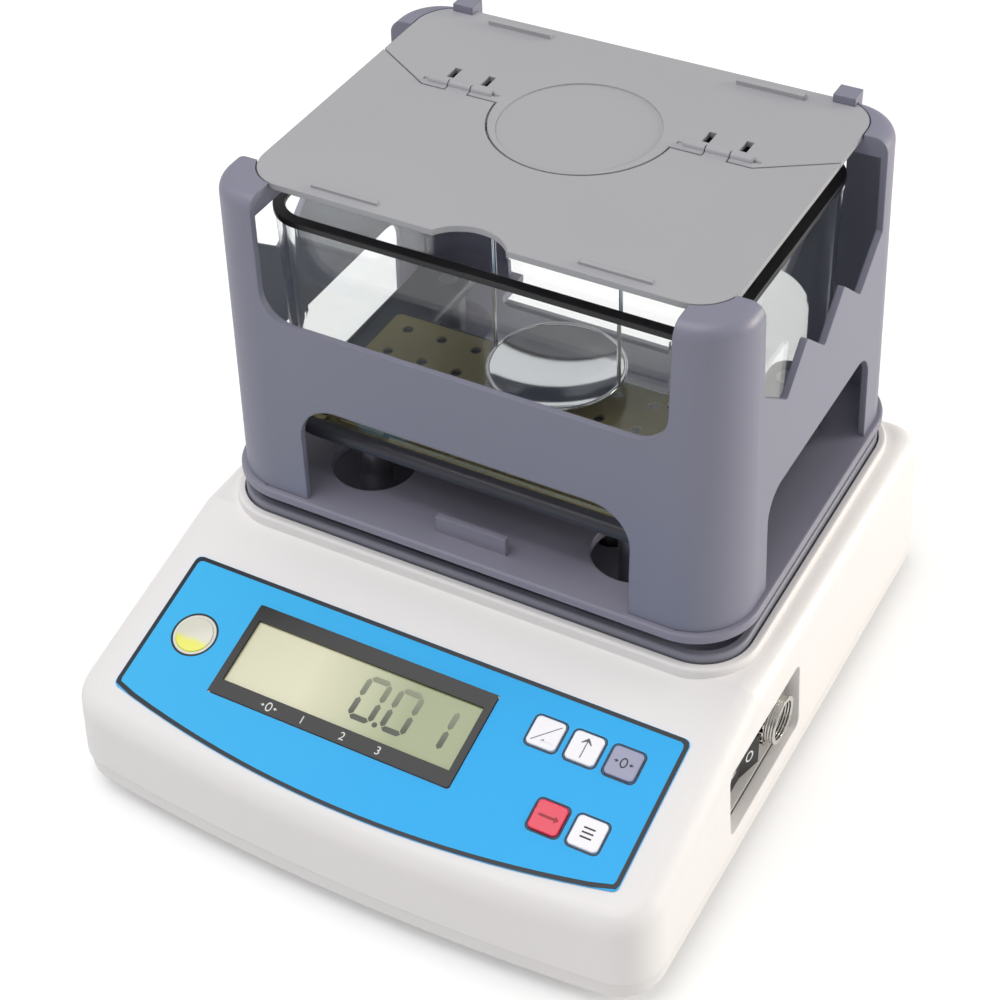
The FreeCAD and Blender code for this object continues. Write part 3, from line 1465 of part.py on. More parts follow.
def rear_lid():
    body = body_named("rear_lid")
    sketch = sketch_on(body, "XY_Plane", lid_low)
    gap = s.seam_gap / 2
    edge_y = s.seam_y + gap
    wing_y = s.seam_outer_y + gap
    tongue_half = s.tongue_width / 2 - gap
    tongue = arc_radius(tongue_half, s.tongue_reach + gap)
    corner = s.lid_corner
    outline(sketch, [
        (-tongue_half, edge_y, tongue, 1),
        (tongue_half, edge_y),
        (s.seam_kink_x, edge_y),
        (lid_half, wing_y),
        (lid_half, s.lid_rear_y - corner, corner, 1),
        (lid_half - corner, s.lid_rear_y),
        (corner - lid_half, s.lid_rear_y, corner, 1),
        (-lid_half, s.lid_rear_y - corner),
        (-lid_half, wing_y),
        (-s.seam_kink_x, edge_y),
    ])
    pad(body, sketch, s.lid_thickness)
    sketch = sketch_on(body, "XY_Plane", tower_top + s.overrun)
    room = s.knuckle_gap
    back = s.hinge_y + s.knuckle_room
    rectangle(sketch, s.knuckle_inner_x - room, s.knuckle_outer_x + room, edge_y - s.seam_gap, back)
    rectangle(sketch, -s.knuckle_outer_x - room, -s.knuckle_inner_x + room, edge_y - s.seam_gap, back)
    half_slot = s.slot_width / 2
    half_length = s.slot_length / 2
    for x in (-s.slot_outer_x, -s.slot_inner_x, s.slot_inner_x, s.slot_outer_x):
        rectangle(sketch, x - half_slot, x + half_slot, s.slot_y - half_length, s.slot_y + half_length)
    pocket(body, sketch, s.overrun + s.lid_thickness * 2)
    sketch = sketch_on(body, "XY_Plane", tower_top + s.overrun)
    circle(sketch, ZERO, s.spot_y, s.spot_radius)
    pocket(body, sketch, s.overrun + s.spot_depth)
    add_ridges(body, s.rear_bar_y - s.rear_bar_width, s.ridge_inner_x, s.ridge_outer_x, s.rear_bar_width,
               s.rear_bar_height)
    spans = [(s.ridge_inner_x, s.knuckle_inner_x - room), (s.knuckle_outer_x + room, s.ridge_outer_x)]
    barrel_stock(body, spans, s.barrel_radius, s.hinge_pin_radius)


def lid_hinge_pins():
    length = s.ridge_outer_x - s.ridge_inner_x
    node("lid_hinge_pins", grouped([
        cylinder(start, s.hinge_y, tower_top, s.hinge_pin_radius, length, "x")
        for start in (s.ridge_inner_x, -s.ridge_outer_x)]))


# Fixed posts, U-shaped shelf and the perforated sheet under the tank


def tank_supports():
    posts = []
    nuts = []
    screws = []
    screw_low = shelf_top - s.shelf_screw_length
    for x, y in post_places:
        bar = cylinder(x, y, seat_height, s.post_radius, s.shelf_height - seat_height)
        stud = cylinder(x, y, seat_height - s.post_stud_length, s.post_stud_radius, s.post_stud_length)
        thread = cylinder(x, y, screw_low, s.shelf_screw_radius, s.shelf_screw_length)
        posts.append(cut(fused([bar, stud]), thread))
        hexagon = doc.addObject("Part::Prism", "hexagon")
        bind(hexagon, "Circumradius", s.nut_radius)
        bind(hexagon, "Height", s.nut_height)
        for letter, size in zip("xyz", (x, y, cavity_top - s.nut_height)):
            bind(hexagon, "Placement.Base." + letter, size)
        bore = cylinder(x, y, cavity_top - s.nut_height - s.overrun, s.post_stud_radius, s.overrun * 2)
        nuts.append(cut(hexagon, bore))
        shank = cylinder(x, y, screw_low, s.shelf_screw_radius, s.shelf_screw_length)
        head = cone(x, y, shelf_top - s.shelf_screw_radius, s.shelf_screw_radius,
                    s.shelf_screw_head_radius, s.shelf_screw_radius)
        screws.append(fused([shank, head]))
    node("tank_posts", grouped(posts))
    node("post_nuts", grouped(nuts))
    node("shelf_screws", grouped(screws))


def tank_shelf():
    half = tank_half_width + s.shelf_margin
    front = s.tower_y - tank_half_depth - s.shelf_margin
    corner = s.tank_corner + s.shelf_margin
    body = body_named("tank_shelf")
    sketch = sketch_on(body, "XY_Plane", s.shelf_height)
    bay = s.shelf_bay_width / 2
    tip = s.shelf_arm_rear
    bend = s.plate_notch_corner
    outline(sketch, [(corner - half, front), (half - corner, front, corner, 1), (half, front + corner),
                     (half, tip - bend, bend, 1), (half - bend, tip), (bay + bend, tip, bend, 1),
                     (bay, tip - bend), (bay, s.shelf_bay_front), (-bay, s.shelf_bay_front),
                     (-bay, tip - bend, bend, 1), (-bay - bend, tip), (bend - half, tip, bend, 1),
                     (-half, tip - bend), (-half, front + corner, corner, 1)])
    pad(body, sketch, s.shelf_thickness)
    round_edges(body, s.shelf_edge_radius, lambda edge: near(edge.BoundBox.ZLength, 0))
    sketch = sketch_on(body, "XY_Plane", shelf_top + s.overrun)
    for x, y in post_places:
        circle(sketch, x, y, s.shelf_screw_radius)
    pocket(body, sketch, s.shelf_thickness + s.overrun * 2)
    countersink(body)
    return body


def countersink(body):
    """Conical seats for the flush heads of the shelf screws."""
    sketch = sketch_on(body, "XY_Plane", shelf_top)
    for x, y in post_places:
        circle(sketch, x, y, s.shelf_screw_head_radius)
    pocket(body, sketch, s.shelf_screw_radius, draft=-s.countersink_angle)


def shelf_pads():
    body = slab("shelf_pads", -s.pad_half_width, s.pad_half_width, s.pad_front, s.pad_rear, shelf_top,
                s.pad_thickness, s.pad_corner)
    sketch = sketch_on(body, "XY_Plane", shelf_top + s.overrun)
    for row in range(PAD_HOLE_ROWS):
        for column in range(PAD_HOLE_COLUMNS):
            x = s.pad_hole_pitch * (column - PAD_HOLE_COLUMNS / 2 + 0.5)
            circle(sketch, x, s.pad_rear - s.pad_hole_pitch * (row + 0.5), s.pad_hole_radius)
    pocket(body, sketch, s.overrun + s.pad_thickness)


# Clear tank, moulded in one piece, with a soft black band over its rim


def water_tank():
    body = slab("water_tank", -tank_half_width, tank_half_width, s.tower_y - tank_half_depth,
                s.tower_y + tank_half_depth, tank_low, s.tank_height, s.tank_corner)
    wall = s.tank_wall
    sketch = sketch_on(body, "XY_Plane", tank_top + s.overrun)
    rectangle(sketch, wall - tank_half_width, tank_half_width - wall, s.tower_y - tank_half_depth + wall,
              s.tower_y + tank_half_depth - wall, s.tank_corner - wall)
    pocket(body, sketch, s.overrun + s.tank_height - s.tank_floor)


def tank_rim_seal():
    over = s.seal_overhang
    low = tank_top - s.seal_skirt
    body = slab("tank_rim_seal", -tank_half_width - over, tank_half_width + over,
                s.tower_y - tank_half_depth - over, s.tower_y + tank_half_depth + over, low,
                s.seal_skirt + s.seal_rise, s.tank_corner + over)
    round_edges(body, s.seal_overhang / 2, level_at(tank_top + s.seal_rise))
    inner = s.tank_wall + over
    sketch = sketch_on(body, "XY_Plane", tank_top + s.overrun)
    rectangle(sketch, inner - tank_half_width, tank_half_width - inner,
              s.tower_y - tank_half_depth + inner, s.tower_y + tank_half_depth - inner,
              s.tank_corner - inner)
    pocket(body, sketch, s.tank_height)
    sketch = sketch_on(body, "XY_Plane", low)
    for inset in (ZERO, s.tank_wall):
        rectangle(sketch, inset - tank_half_width, tank_half_width - inset,
                  s.tower_y - tank_half_depth + inset, s.tower_y + tank_half_depth - inset,
                  s.tank_corner - inset)
    pocket(body, sketch, s.seal_skirt, flipped=True)


# Black hanger under the lid's tongue: plate, two ears and the rod that the basket hooks on


def hanger_block():
    x = s.hanger_ear_inner_x
    plate = block(-s.hanger_width / 2, s.basket_y - s.hanger_length / 2, lid_low - s.hanger_plate,
                  s.hanger_width, s.hanger_length, s.hanger_plate)
    ears = [block(start, s.basket_y - s.hanger_ear_length / 2, hook_height - s.hook_rod_radius * 2,
                  s.hanger_ear_width, s.hanger_ear_length, s.hook_drop + s.hook_rod_radius * 2)
            for start in (x, -x - s.hanger_ear_width)]
    rod = cylinder(-x, s.basket_y, hook_height, s.hook_rod_radius, x * 2, "x")
    node("hanger_block", fused([plate, rod] + ears))


# Hanging basket: eye and stem on a black yoke, steel wires with a rim ring, and a dished pan


def basket():
    yoke_top = hook_height - s.yoke_drop
    yoke_low = yoke_top - s.yoke_height
    eye = cylinder(-s.eye_width / 2, s.basket_y, hook_height, s.eye_radius, s.eye_width, "x")
    stem = cylinder(ZERO, s.basket_y, yoke_top - s.wire_radius, s.basket_stem_radius,
                    s.yoke_drop - s.hook_rod_radius)
    bore = cylinder(-s.eye_width, s.basket_y, hook_height, s.hook_rod_radius + s.hook_clearance,
                    s.eye_width * 2, "x")
    beam = block(-s.yoke_width / 2, s.basket_y - s.yoke_depth / 2, yoke_low, s.yoke_width, s.yoke_depth,
                 s.yoke_height)
    node("basket_yoke", cut(fused([eye, stem, beam]), bore))
    wires = [cylinder(x, s.basket_y, s.pan_rim_height, s.wire_radius, yoke_low - s.pan_rim_height)
             for x in (-s.pan_radius + s.wire_radius, s.pan_radius - s.wire_radius)]
    ring = doc.addObject("Part::Torus", "ring")
    bind(ring, "Radius1", s.pan_radius - s.wire_radius)
    bind(ring, "Radius2", s.wire_radius)
    bind(ring, "Placement.Base.y", s.basket_y)
    bind(ring, "Placement.Base.z", s.pan_rim_height)
    node("basket_frame", fused(wires + [ring]))


def basket_pan():
    body = body_named("basket_pan")
    sketch = sketch_on(body, "YZ_Plane")
    edge = s.pan_radius - s.wire_radius * 2
    rim = s.pan_rim_height
    sink = s.pan_sink
    thick = s.pan_thickness
    outline(sketch, [
        (ZERO, rim - sink - thick, arc_radius(edge, sink), 1),
        (edge, rim - thick),
        (edge, rim, arc_radius(edge, sink), -1),
        (ZERO, rim - sink),
    ])
    turn = body.newObject("PartDesign::Revolution", "basket_pan_revolution")
    turn.Profile = (sketch, [""])
    turn.ReferenceAxis = (sketch, ["V_Axis"])
    body.Tip = turn
    bind(body, "Placement.Base.y", s.basket_y)
    doc.recompute()


def build():
    top_housing()
    bottom_shell()
    for name, (x, y) in feet.items():
        levelling_foot(name, x, y)
    foot_inserts()
    housing_screws()
    load_cell()
    load_cell_mount()
    load_cell_screws()
    platform_carrier()
    main_board()
    panel_overlay()
    display_pieces()
    for name, (x, y) in keys.items():
        key_cap(name, x, y)
    key_switches()
    spirit_level()
    power_switch()
    data_socket()
    lower_tray()
    platform_plate()
    tower_frame()
    front_lid()
    rear_lid()
    lid_hinge_pins()
    tank_supports()
    tank_shelf()
    shelf_pads()
    water_tank()
    tank_rim_seal()
    hanger_block()
    basket()
    basket_pan()
    doc.recompute()


def check_and_write():
    """Makes sure that every step and every piece is sound, then writes one file per piece."""
    for item in doc.Objects:
        if {"Invalid", "Error"} & set(item.State):
            raise RuntimeError("%s (%s) failed: %s" % (item.Name, item.Label, item.State))
    os.makedirs("parts", exist_ok=True)
    for piece in nodes:
        shape = piece.Shape
        if shape.isNull() or not shape.isValid() or not shape.Solids:
            raise RuntimeError("bad shape in " + piece.Label)
        shape.exportStep("parts/%s.step" % piece.Label)
        box = shape.BoundBox
        print("%-28s %d solid(s) %9.1f mm3  x %.1f..%.1f  y %.1f..%.1f  z %.1f..%.1f" % (
            piece.Label, len(shape.Solids), shape.Volume, box.XMin, box.XMax, box.YMin, box.YMax,
            box.ZMin, box.ZMax))
    print(len(nodes), "pieces")


build()
check_and_write()
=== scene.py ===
import math

import bpy
from mathutils import Matrix, Vector


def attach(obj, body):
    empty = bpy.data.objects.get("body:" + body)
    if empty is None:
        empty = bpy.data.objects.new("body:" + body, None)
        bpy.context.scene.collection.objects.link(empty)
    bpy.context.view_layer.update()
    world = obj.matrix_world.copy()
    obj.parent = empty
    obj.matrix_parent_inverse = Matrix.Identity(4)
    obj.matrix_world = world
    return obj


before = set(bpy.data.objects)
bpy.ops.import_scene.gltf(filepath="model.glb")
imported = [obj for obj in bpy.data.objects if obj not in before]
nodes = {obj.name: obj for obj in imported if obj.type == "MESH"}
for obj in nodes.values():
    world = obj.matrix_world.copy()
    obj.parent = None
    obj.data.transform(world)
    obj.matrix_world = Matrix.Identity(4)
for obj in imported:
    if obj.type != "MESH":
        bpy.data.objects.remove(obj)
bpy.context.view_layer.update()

MM = 0.001


# Camera and light. The camera stands where the photograph was taken, to the front right and above.
# The floor is a plain pale table that fades into white, and broad soft lamps light the object under
# a white sky.

def linear(code):
    """An sRGB hex colour as linear red, green, blue, alpha."""
    parts = [int(code[place:place + 2], 16) / 255 for place in (0, 2, 4)]
    return [c / 12.92 if c <= 0.04045 else ((c + 0.055) / 1.055) ** 2.4 for c in parts] + [1.0]


def add_node(tree, kind, settings=None, **inputs):
    """Adds a node. An input is a value or another node's output socket."""
    node = tree.nodes.new(kind)
    for name, value in (settings or {}).items():
        setattr(node, name, value)
    for name, value in inputs.items():
        place = int(name[1:]) if name[0] == "i" and name[1:].isdigit() else name.replace("_", " ")
        if isinstance(value, bpy.types.NodeSocket):
            tree.links.new(value, node.inputs[place])
        else:
            node.inputs[place].default_value = value
    return node


def empty_material(name):
    """A material without nodes, and its node tree."""
    material = bpy.data.materials.new(name)
    material.use_nodes = True
    material.node_tree.nodes.clear()
    return material, material.node_tree


camera_data = bpy.data.cameras.new("photo_camera")
camera = bpy.data.objects.new("photo_camera", camera_data)
bpy.context.scene.collection.objects.link(camera)
CAMERA_PLACE = Vector((0.22536, -0.38459, 0.46602))
CAMERA_AZIMUTH = 0.5340
CAMERA_DROP = 0.7270
CAMERA_ROLL = -0.0451
forward = Vector((-math.sin(CAMERA_AZIMUTH) * math.cos(CAMERA_DROP),
                  math.cos(CAMERA_AZIMUTH) * math.cos(CAMERA_DROP), -math.sin(CAMERA_DROP)))
level_right = Vector((math.cos(CAMERA_AZIMUTH), math.sin(CAMERA_AZIMUTH), 0))
level_up = level_right.cross(forward)
right = level_right * math.cos(CAMERA_ROLL) + level_up * math.sin(CAMERA_ROLL)
up = right.cross(forward)
camera.matrix_world = Matrix((
    (right.x, up.x, -forward.x, CAMERA_PLACE.x),
    (right.y, up.y, -forward.y, CAMERA_PLACE.y),
    (right.z, up.z, -forward.z, CAMERA_PLACE.z),
    (0, 0, 0, 1)))
camera_data.sensor_width = 36
camera_data.lens = 73.2
camera_data.clip_start = 0.01
bpy.context.scene.camera = camera
bpy.context.scene.view_settings.view_transform = "Standard"

sky = bpy.data.worlds.new("white_sky")
bpy.context.scene.world = sky
sky.use_nodes = True
sky_tree = sky.node_tree
sky_tree.nodes.clear()
SKY_LIGHT = 0.46
path = add_node(sky_tree, "ShaderNodeLightPath")
seen = add_node(sky_tree, "ShaderNodeMath", {"operation": "MAXIMUM"},
                i0=path.outputs["Is Camera Ray"], i1=path.outputs["Is Transmission Ray"])
strength = add_node(sky_tree, "ShaderNodeMapRange", None, Value=seen.outputs[0],
                    To_Min=SKY_LIGHT, To_Max=1.0)
background = add_node(sky_tree, "ShaderNodeBackground", None, Color=linear("FFFFFF"),
                      Strength=strength.outputs[0])
add_node(sky_tree, "ShaderNodeOutputWorld", None, Surface=background.outputs[0])

bpy.ops.object.select_all(action="DESELECT")
bpy.ops.mesh.primitive_plane_add(size=16, location=(0, 0, 0))
floor = bpy.context.object
floor.name = "table_top"
table_white, tree = empty_material("white_laminate_table")
path = add_node(tree, "ShaderNodeLightPath")
seen = add_node(tree, "ShaderNodeMath", {"operation": "MAXIMUM"},
                i0=path.outputs["Is Camera Ray"], i1=path.outputs["Is Transmission Ray"])
matte = add_node(tree, "ShaderNodeBsdfDiffuse", None, Color=linear("F4F4F4"))
glow = add_node(tree, "ShaderNodeEmission", None, Color=linear("FFFFFF"), Strength=0.2)
dark = add_node(tree, "ShaderNodeEmission", None, Color=linear("000000"), Strength=0.0)
lift = add_node(tree, "ShaderNodeMixShader", None, Fac=seen.outputs[0],
                i1=dark.outputs[0], i2=glow.outputs[0])
both = add_node(tree, "ShaderNodeAddShader", None, i0=matte.outputs[0], i1=lift.outputs[0])
place = add_node(tree, "ShaderNodeTexCoord").outputs["Object"]
distance = add_node(tree, "ShaderNodeVectorMath", {"operation": "LENGTH"}, i0=place)
fading = add_node(tree, "ShaderNodeMapRange", {"interpolation_type": "SMOOTHSTEP"},
                  Value=distance.outputs[1], From_Min=0.2, From_Max=0.75, To_Min=0.0, To_Max=1.0)
far_and_seen = add_node(tree, "ShaderNodeMath", {"operation": "MULTIPLY"},
                        i0=fading.outputs[0], i1=seen.outputs[0])
bright = add_node(tree, "ShaderNodeEmission", None, Color=linear("FFFFFF"), Strength=1.0)
backdrop = add_node(tree, "ShaderNodeMixShader", None, Fac=far_and_seen.outputs[0],
                    i1=both.outputs[0], i2=bright.outputs[0])
add_node(tree, "ShaderNodeOutputMaterial", None, Surface=backdrop.outputs[0])
floor.data.materials.append(table_white)


def soft_lamp(name, place, target, size, power, tone="FFFFFF"):
    """Square area lamp aimed at target."""
    data = bpy.data.lights.new(name, "AREA")
    data.size = size
    data.energy = power
    data.color = linear(tone)[:3]
    lamp = bpy.data.objects.new(name, data)
    bpy.context.scene.collection.objects.link(lamp)
    lamp.location = place
    lamp.rotation_euler = (Vector(target) - Vector(place)).to_track_quat("-Z", "Y").to_euler()


# The broadest lamp stands overhead. The one at the right lights the white side wall and the column.
soft_lamp("top_softbox", (-0.25, -0.2, 1.3), (0, 0, 0.05), 1.0, 9.0)
soft_lamp("right_softbox", (1.15, 0.8, 0.36), (0, 0, 0.1), 0.55, 12.5, "FFF8EC")
soft_lamp("front_softbox", (-0.7, -1.2, 0.7), (-0.1, 0, 0.08), 0.7, 0.4, "F0F0FF")
soft_lamp("left_softbox", (-1.2, -0.2, 0.8), (0, 0, 0.08), 0.8, 1.0)


# Lower shell and the white cover of the base: injection-moulded ABS with a fine even grain and a
# soft sheen. The shell is the same plastic a shade greyer, screwed to the cover from below.

def moulded_plastic(name, colour, roughness=0.42, grain_mm=0.45, relief_mm=0.012, drift=0.03, edge_mm=0.5):
    """Moulded plastic: nearly even colour, sheen that varies a little, an eroded-tool grain, soft edges."""
    material, tree = empty_material(name)
    place = add_node(tree, "ShaderNodeTexCoord").outputs["Object"]
    cloud = add_node(tree, "ShaderNodeTexNoise", None, Vector=place, Scale=28.0, Detail=3.0)
    base = linear(colour)
    darker = [c * (1 - drift) for c in base[:3]] + [1.0]
    lighter = [min(1.0, c * (1 + drift)) for c in base[:3]] + [1.0]
    tint = add_node(tree, "ShaderNodeMix", {"data_type": "RGBA"}, i0=cloud.outputs[0],
                    i6=darker, i7=lighter)
    shine = add_node(tree, "ShaderNodeMapRange", None, Value=cloud.outputs[0],
                     To_Min=roughness - 0.05, To_Max=roughness + 0.05)
    grain = add_node(tree, "ShaderNodeTexNoise", None, Vector=place, Scale=1 / (grain_mm * MM), Detail=2.0)
    edge = add_node(tree, "ShaderNodeBevel", {"samples": 6}, Radius=edge_mm * MM)
    bump = add_node(tree, "ShaderNodeBump", None, Height=grain.outputs[0], Distance=relief_mm * MM,
                    Strength=0.6, Normal=edge.outputs[0])
    surface = add_node(tree, "ShaderNodeBsdfPrincipled", None, Base_Color=tint.outputs[2],
                       Roughness=shine.outputs[0], Normal=bump.outputs[0])
    add_node(tree, "ShaderNodeOutputMaterial", None, Surface=surface.outputs[0])
    return material


def dress(names, material):
    """Gives CAD nodes a material."""
    for name in names:
        mesh = nodes[name].data
        mesh.materials.clear()
        mesh.materials.append(material)


dress(["bottom_shell"], moulded_plastic("grey_white_moulded_abs", "ECE9E8"))
dress(["top_housing"], moulded_plastic("white_moulded_abs", "EFECEB", 0.4, 0.5, 0.012, 0.015))


# Levelling feet: black glass-filled nylon knobs moulded round zinc-plated studs. They turn in
# brass inserts pressed into the shell, and four steel screws beside them close the base.

def bright_metal(name, colour, roughness, streak_mm, drawn=(1.0, 1.0, 0.08)):
    """Turned or drawn metal: fine streaks along one axis in its roughness and relief."""
    material, tree = empty_material(name)
    place = add_node(tree, "ShaderNodeTexCoord").outputs["Object"]
    stretched = add_node(tree, "ShaderNodeMapping", None, Vector=place, Scale=drawn)
    streaks = add_node(tree, "ShaderNodeTexNoise", None, Vector=stretched.outputs[0],
                       Scale=1 / (streak_mm * MM), Detail=3.0)
    shine = add_node(tree, "ShaderNodeMapRange", None, Value=streaks.outputs[0],
                     To_Min=roughness * 0.7, To_Max=roughness * 1.3)
    bump = add_node(tree, "ShaderNodeBump", None, Height=streaks.outputs[0], Distance=0.004 * MM,
                    Strength=0.5)
    surface = add_node(tree, "ShaderNodeBsdfPrincipled", None, Base_Color=linear(colour), Metallic=1.0,
                       Roughness=shine.outputs[0], Normal=bump.outputs[0])
    add_node(tree, "ShaderNodeOutputMaterial", None, Surface=surface.outputs[0])
    return material


turned_brass = bright_metal("turned_brass", "C8A24A", 0.28, 0.5)
zinc_plated_steel = bright_metal("zinc_plated_steel", "B4B4B8", 0.32, 0.5)
dress(["levelling_foot_front_left", "levelling_foot_front_right", "levelling_foot_rear_left",
       "levelling_foot_rear_right"], moulded_plastic("black_foot_nylon", "262629", 0.5, 0.6, 0.03, 0.08))
dress(["foot_inserts"], turned_brass)
dress(["housing_screws"], zinc_plated_steel)


# Weighing mechanism: an aluminium load cell on its block, and the spider on the cell's free end
# whose four stems carry the platform. All are milled and left bare, so they show fine tool marks.

milled_aluminium = bright_metal("milled_aluminium", "B9BBBF", 0.35, 0.6, (0.1, 1.0, 1.0))
dress(["load_cell", "load_cell_mount", "platform_carrier"], milled_aluminium)
dress(["load_cell_screws"], zinc_plated_steel)


# Circuit boards: glass-epoxy under green solder mask, with the display's board behind the panel.
# The copper runs under the mask show as faint lighter lines, and the tact switches are black nylon.

def solder_mask(name):
    """Green lacquer over copper: faint square runs 2.5 mm apart, glossy, a little uneven."""
    material, tree = empty_material(name)
    place = add_node(tree, "ShaderNodeTexCoord").outputs["Object"]
    runs = add_node(tree, "ShaderNodeTexBrick", None, Vector=place, Scale=1 / (5 * MM),
                    Color1=linear("1F6B3E"), Color2=linear("246F45"), Mortar=linear("3A8A5A"),
                    Mortar_Size=0.04)
    cloud = add_node(tree, "ShaderNodeTexNoise", None, Vector=place, Scale=60.0)
    shine = add_node(tree, "ShaderNodeMapRange", None, Value=cloud.outputs[0], To_Min=0.22, To_Max=0.38)
    surface = add_node(tree, "ShaderNodeBsdfPrincipled", None, Base_Color=runs.outputs[0],
                       Roughness=shine.outputs[0])
    add_node(tree, "ShaderNodeOutputMaterial", None, Surface=surface.outputs[0])
    return material


dress(["main_board", "display_board"], solder_mask("green_solder_mask"))
black_nylon = moulded_plastic("black_nylon", "1B1A1D", 0.36, 0.35, 0.01, 0.06, 0.3)
dress(["key_switches"], black_nylon)


# Control panel: a polyester film printed blue from behind, with a near-black line round its edge.
# The film has a slight orange-peel top coat. It is glued into a shallow step in the cover.

PANEL_PLACE = Matrix.Translation((0, -44.8 * MM, 50.05 * MM)) @ Matrix.Rotation(math.radians(15.6), 4, "X")
PANEL_TOP = 0.5
HALF_WIDTH = 81.4
SIDE_LENGTH = 47.5
BOW = 9.3
INK_HALF = 0.015
FRAME_TOP = 0.9
FRAME_TEXT_LINE = -36.5


def printed_film(name, colour, roughness=0.3, paler=None):
    """Printed polyester film: even ink under a slightly textured clear top coat, paler to the left."""
    material, tree = empty_material(name)
    place = add_node(tree, "ShaderNodeTexCoord").outputs["Object"]
    orange_peel = add_node(tree, "ShaderNodeTexNoise", None, Vector=place, Scale=1 / (0.6 * MM),
                           Detail=1.0)
    bump = add_node(tree, "ShaderNodeBump", None, Height=orange_peel.outputs[0], Distance=0.004 * MM,
                    Strength=0.5)
    cloud = add_node(tree, "ShaderNodeTexNoise", None, Vector=place, Scale=15.0)
    base = linear(colour)
    darker = [c * 0.98 for c in base[:3]] + [1.0]
    lighter = [min(1, c * 1.02) for c in base[:3]] + [1.0]
    tint = add_node(tree, "ShaderNodeMix", {"data_type": "RGBA"}, i0=cloud.outputs[0],
                    i6=darker, i7=lighter)
    if paler:
        across = add_node(tree, "ShaderNodeSeparateXYZ", None, Vector=place)
        amount = add_node(tree, "ShaderNodeMapRange", None, Value=across.outputs[0],
                          From_Min=20 * MM, From_Max=-80 * MM, To_Min=0.0, To_Max=1.0)
        tint = add_node(tree, "ShaderNodeMix", {"data_type": "RGBA"}, i0=amount.outputs[0],
                        i6=tint.outputs[2], i7=linear(paler))
    surface = add_node(tree, "ShaderNodeBsdfPrincipled", None, Base_Color=tint.outputs[2],
                       Roughness=roughness, Normal=bump.outputs[0])
    surface.inputs["Specular IOR Level"].default_value = 0.3
    surface.inputs["Coat Weight"].default_value = 0.06
    surface.inputs["Coat Roughness"].default_value = 0.2
    add_node(tree, "ShaderNodeOutputMaterial", None, Surface=surface.outputs[0])
    return material


def printed_shape(name, loops, height, ink, body="base", place=PANEL_PLACE):
    """Ink or a thin inlay: closed loops in millimetres, filled, at a height over the place's plane."""
    curve = bpy.data.curves.new(name, "CURVE")
    curve.dimensions = "2D"
    curve.fill_mode = "BOTH"
    curve.extrude = INK_HALF * MM
    for loop in loops:
        spline = curve.splines.new("POLY")
        spline.points.add(len(loop) - 1)
        for point, (x, y) in zip(spline.points, loop):
            point.co = (x * MM, y * MM, 0, 1)
        spline.use_cyclic_u = True
    made = bpy.data.objects.new(name, curve)
    return settle_shape(made, height, ink, body, place)


def settle_shape(made, height, ink, body, place):
    """Turns a flat curve or number into a mesh and lays it at its place."""
    bpy.context.scene.collection.objects.link(made)
    bpy.ops.object.select_all(action="DESELECT")
    made.select_set(True)
    bpy.context.view_layer.objects.active = made
    bpy.ops.object.convert(target="MESH")
    piece = bpy.context.object
    piece.matrix_world = place @ Matrix.Translation((0, 0, (height + INK_HALF) * MM))
    bpy.ops.object.transform_apply(location=True, rotation=True, scale=True)
    piece.data.materials.clear()
    piece.data.materials.append(ink)
    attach(piece, body)
    return piece


def bowed_outline(inset, corner, steps=24):
    """The film's outline moved inwards: straight top and sides, and a lower edge on a shallow arc."""
    half = HALF_WIDTH - inset
    top = -inset
    low = -SIDE_LENGTH + inset * 0.9
    points = [(half - corner, top), (-half + corner, top), (-half + corner * 0.3, top - corner * 0.3),
              (-half, top - corner)]
    points += [(-half, low + corner), (-half + corner * 0.25, low + corner * 0.25)]
    radius = (half * half + BOW * BOW) / (2 * BOW)
    for step in range(1, steps):
        x = -half + 2 * half * step / steps
        points.append((x, low - BOW + radius - math.sqrt(radius * radius - x * x)))
    points += [(half - corner * 0.25, low + corner * 0.25), (half, low + corner)]
    points += [(half, top - corner), (half - corner * 0.3, top - corner * 0.3)]
    return points


dress(["panel_overlay"], printed_film("blue_printed_film", "00B0F6", 0.36, "30BAF7"))
navy_ink = printed_film("near_black_ink", "0E1622", 0.3)
printed_shape("panel_border", [bowed_outline(0.05, 2.0), bowed_outline(1.35, 1.4)], PANEL_TOP, navy_ink)


# Display: a black gloss frame over a liquid crystal cell with a green-grey field; a painted highlight of
# the glass makes it paler towards the left. The frame carries plain white numbers, and the cell shows a
# reading in seven segments.

def liquid_crystal(name, left, right_side):
    """Polarised cell: green-grey field under flat glass, made paler towards the left by a painted highlight
    of the glass.
    """
    material, tree = empty_material(name)
    place = add_node(tree, "ShaderNodeTexCoord").outputs["Object"]
    across = add_node(tree, "ShaderNodeSeparateXYZ", None, Vector=place)
    cloud = add_node(tree, "ShaderNodeTexNoise", None, Vector=place, Scale=30.0, Detail=1.0)
    # Painted highlight: the field turns paler towards the left, standing in for glare on the glass.
    painted_highlight_fade = add_node(tree, "ShaderNodeMapRange", None, Value=across.outputs[0],
                     From_Min=-28 * MM, From_Max=6 * MM, To_Min=0.0, To_Max=0.9)
    uneven = add_node(tree, "ShaderNodeMath", {"operation": "MULTIPLY_ADD"}, i0=cloud.outputs[0], i1=0.25,
                      i2=painted_highlight_fade.outputs[0])
    tint = add_node(tree, "ShaderNodeMix", {"data_type": "RGBA"}, i0=uneven.outputs[0],
                    i6=linear(left), i7=linear(right_side))
    surface = add_node(tree, "ShaderNodeBsdfPrincipled", None, Base_Color=tint.outputs[2], Roughness=0.18)
    surface.inputs["Coat Weight"].default_value = 0.4
    surface.inputs["Coat Roughness"].default_value = 0.05
    add_node(tree, "ShaderNodeOutputMaterial", None, Surface=surface.outputs[0])
    return material


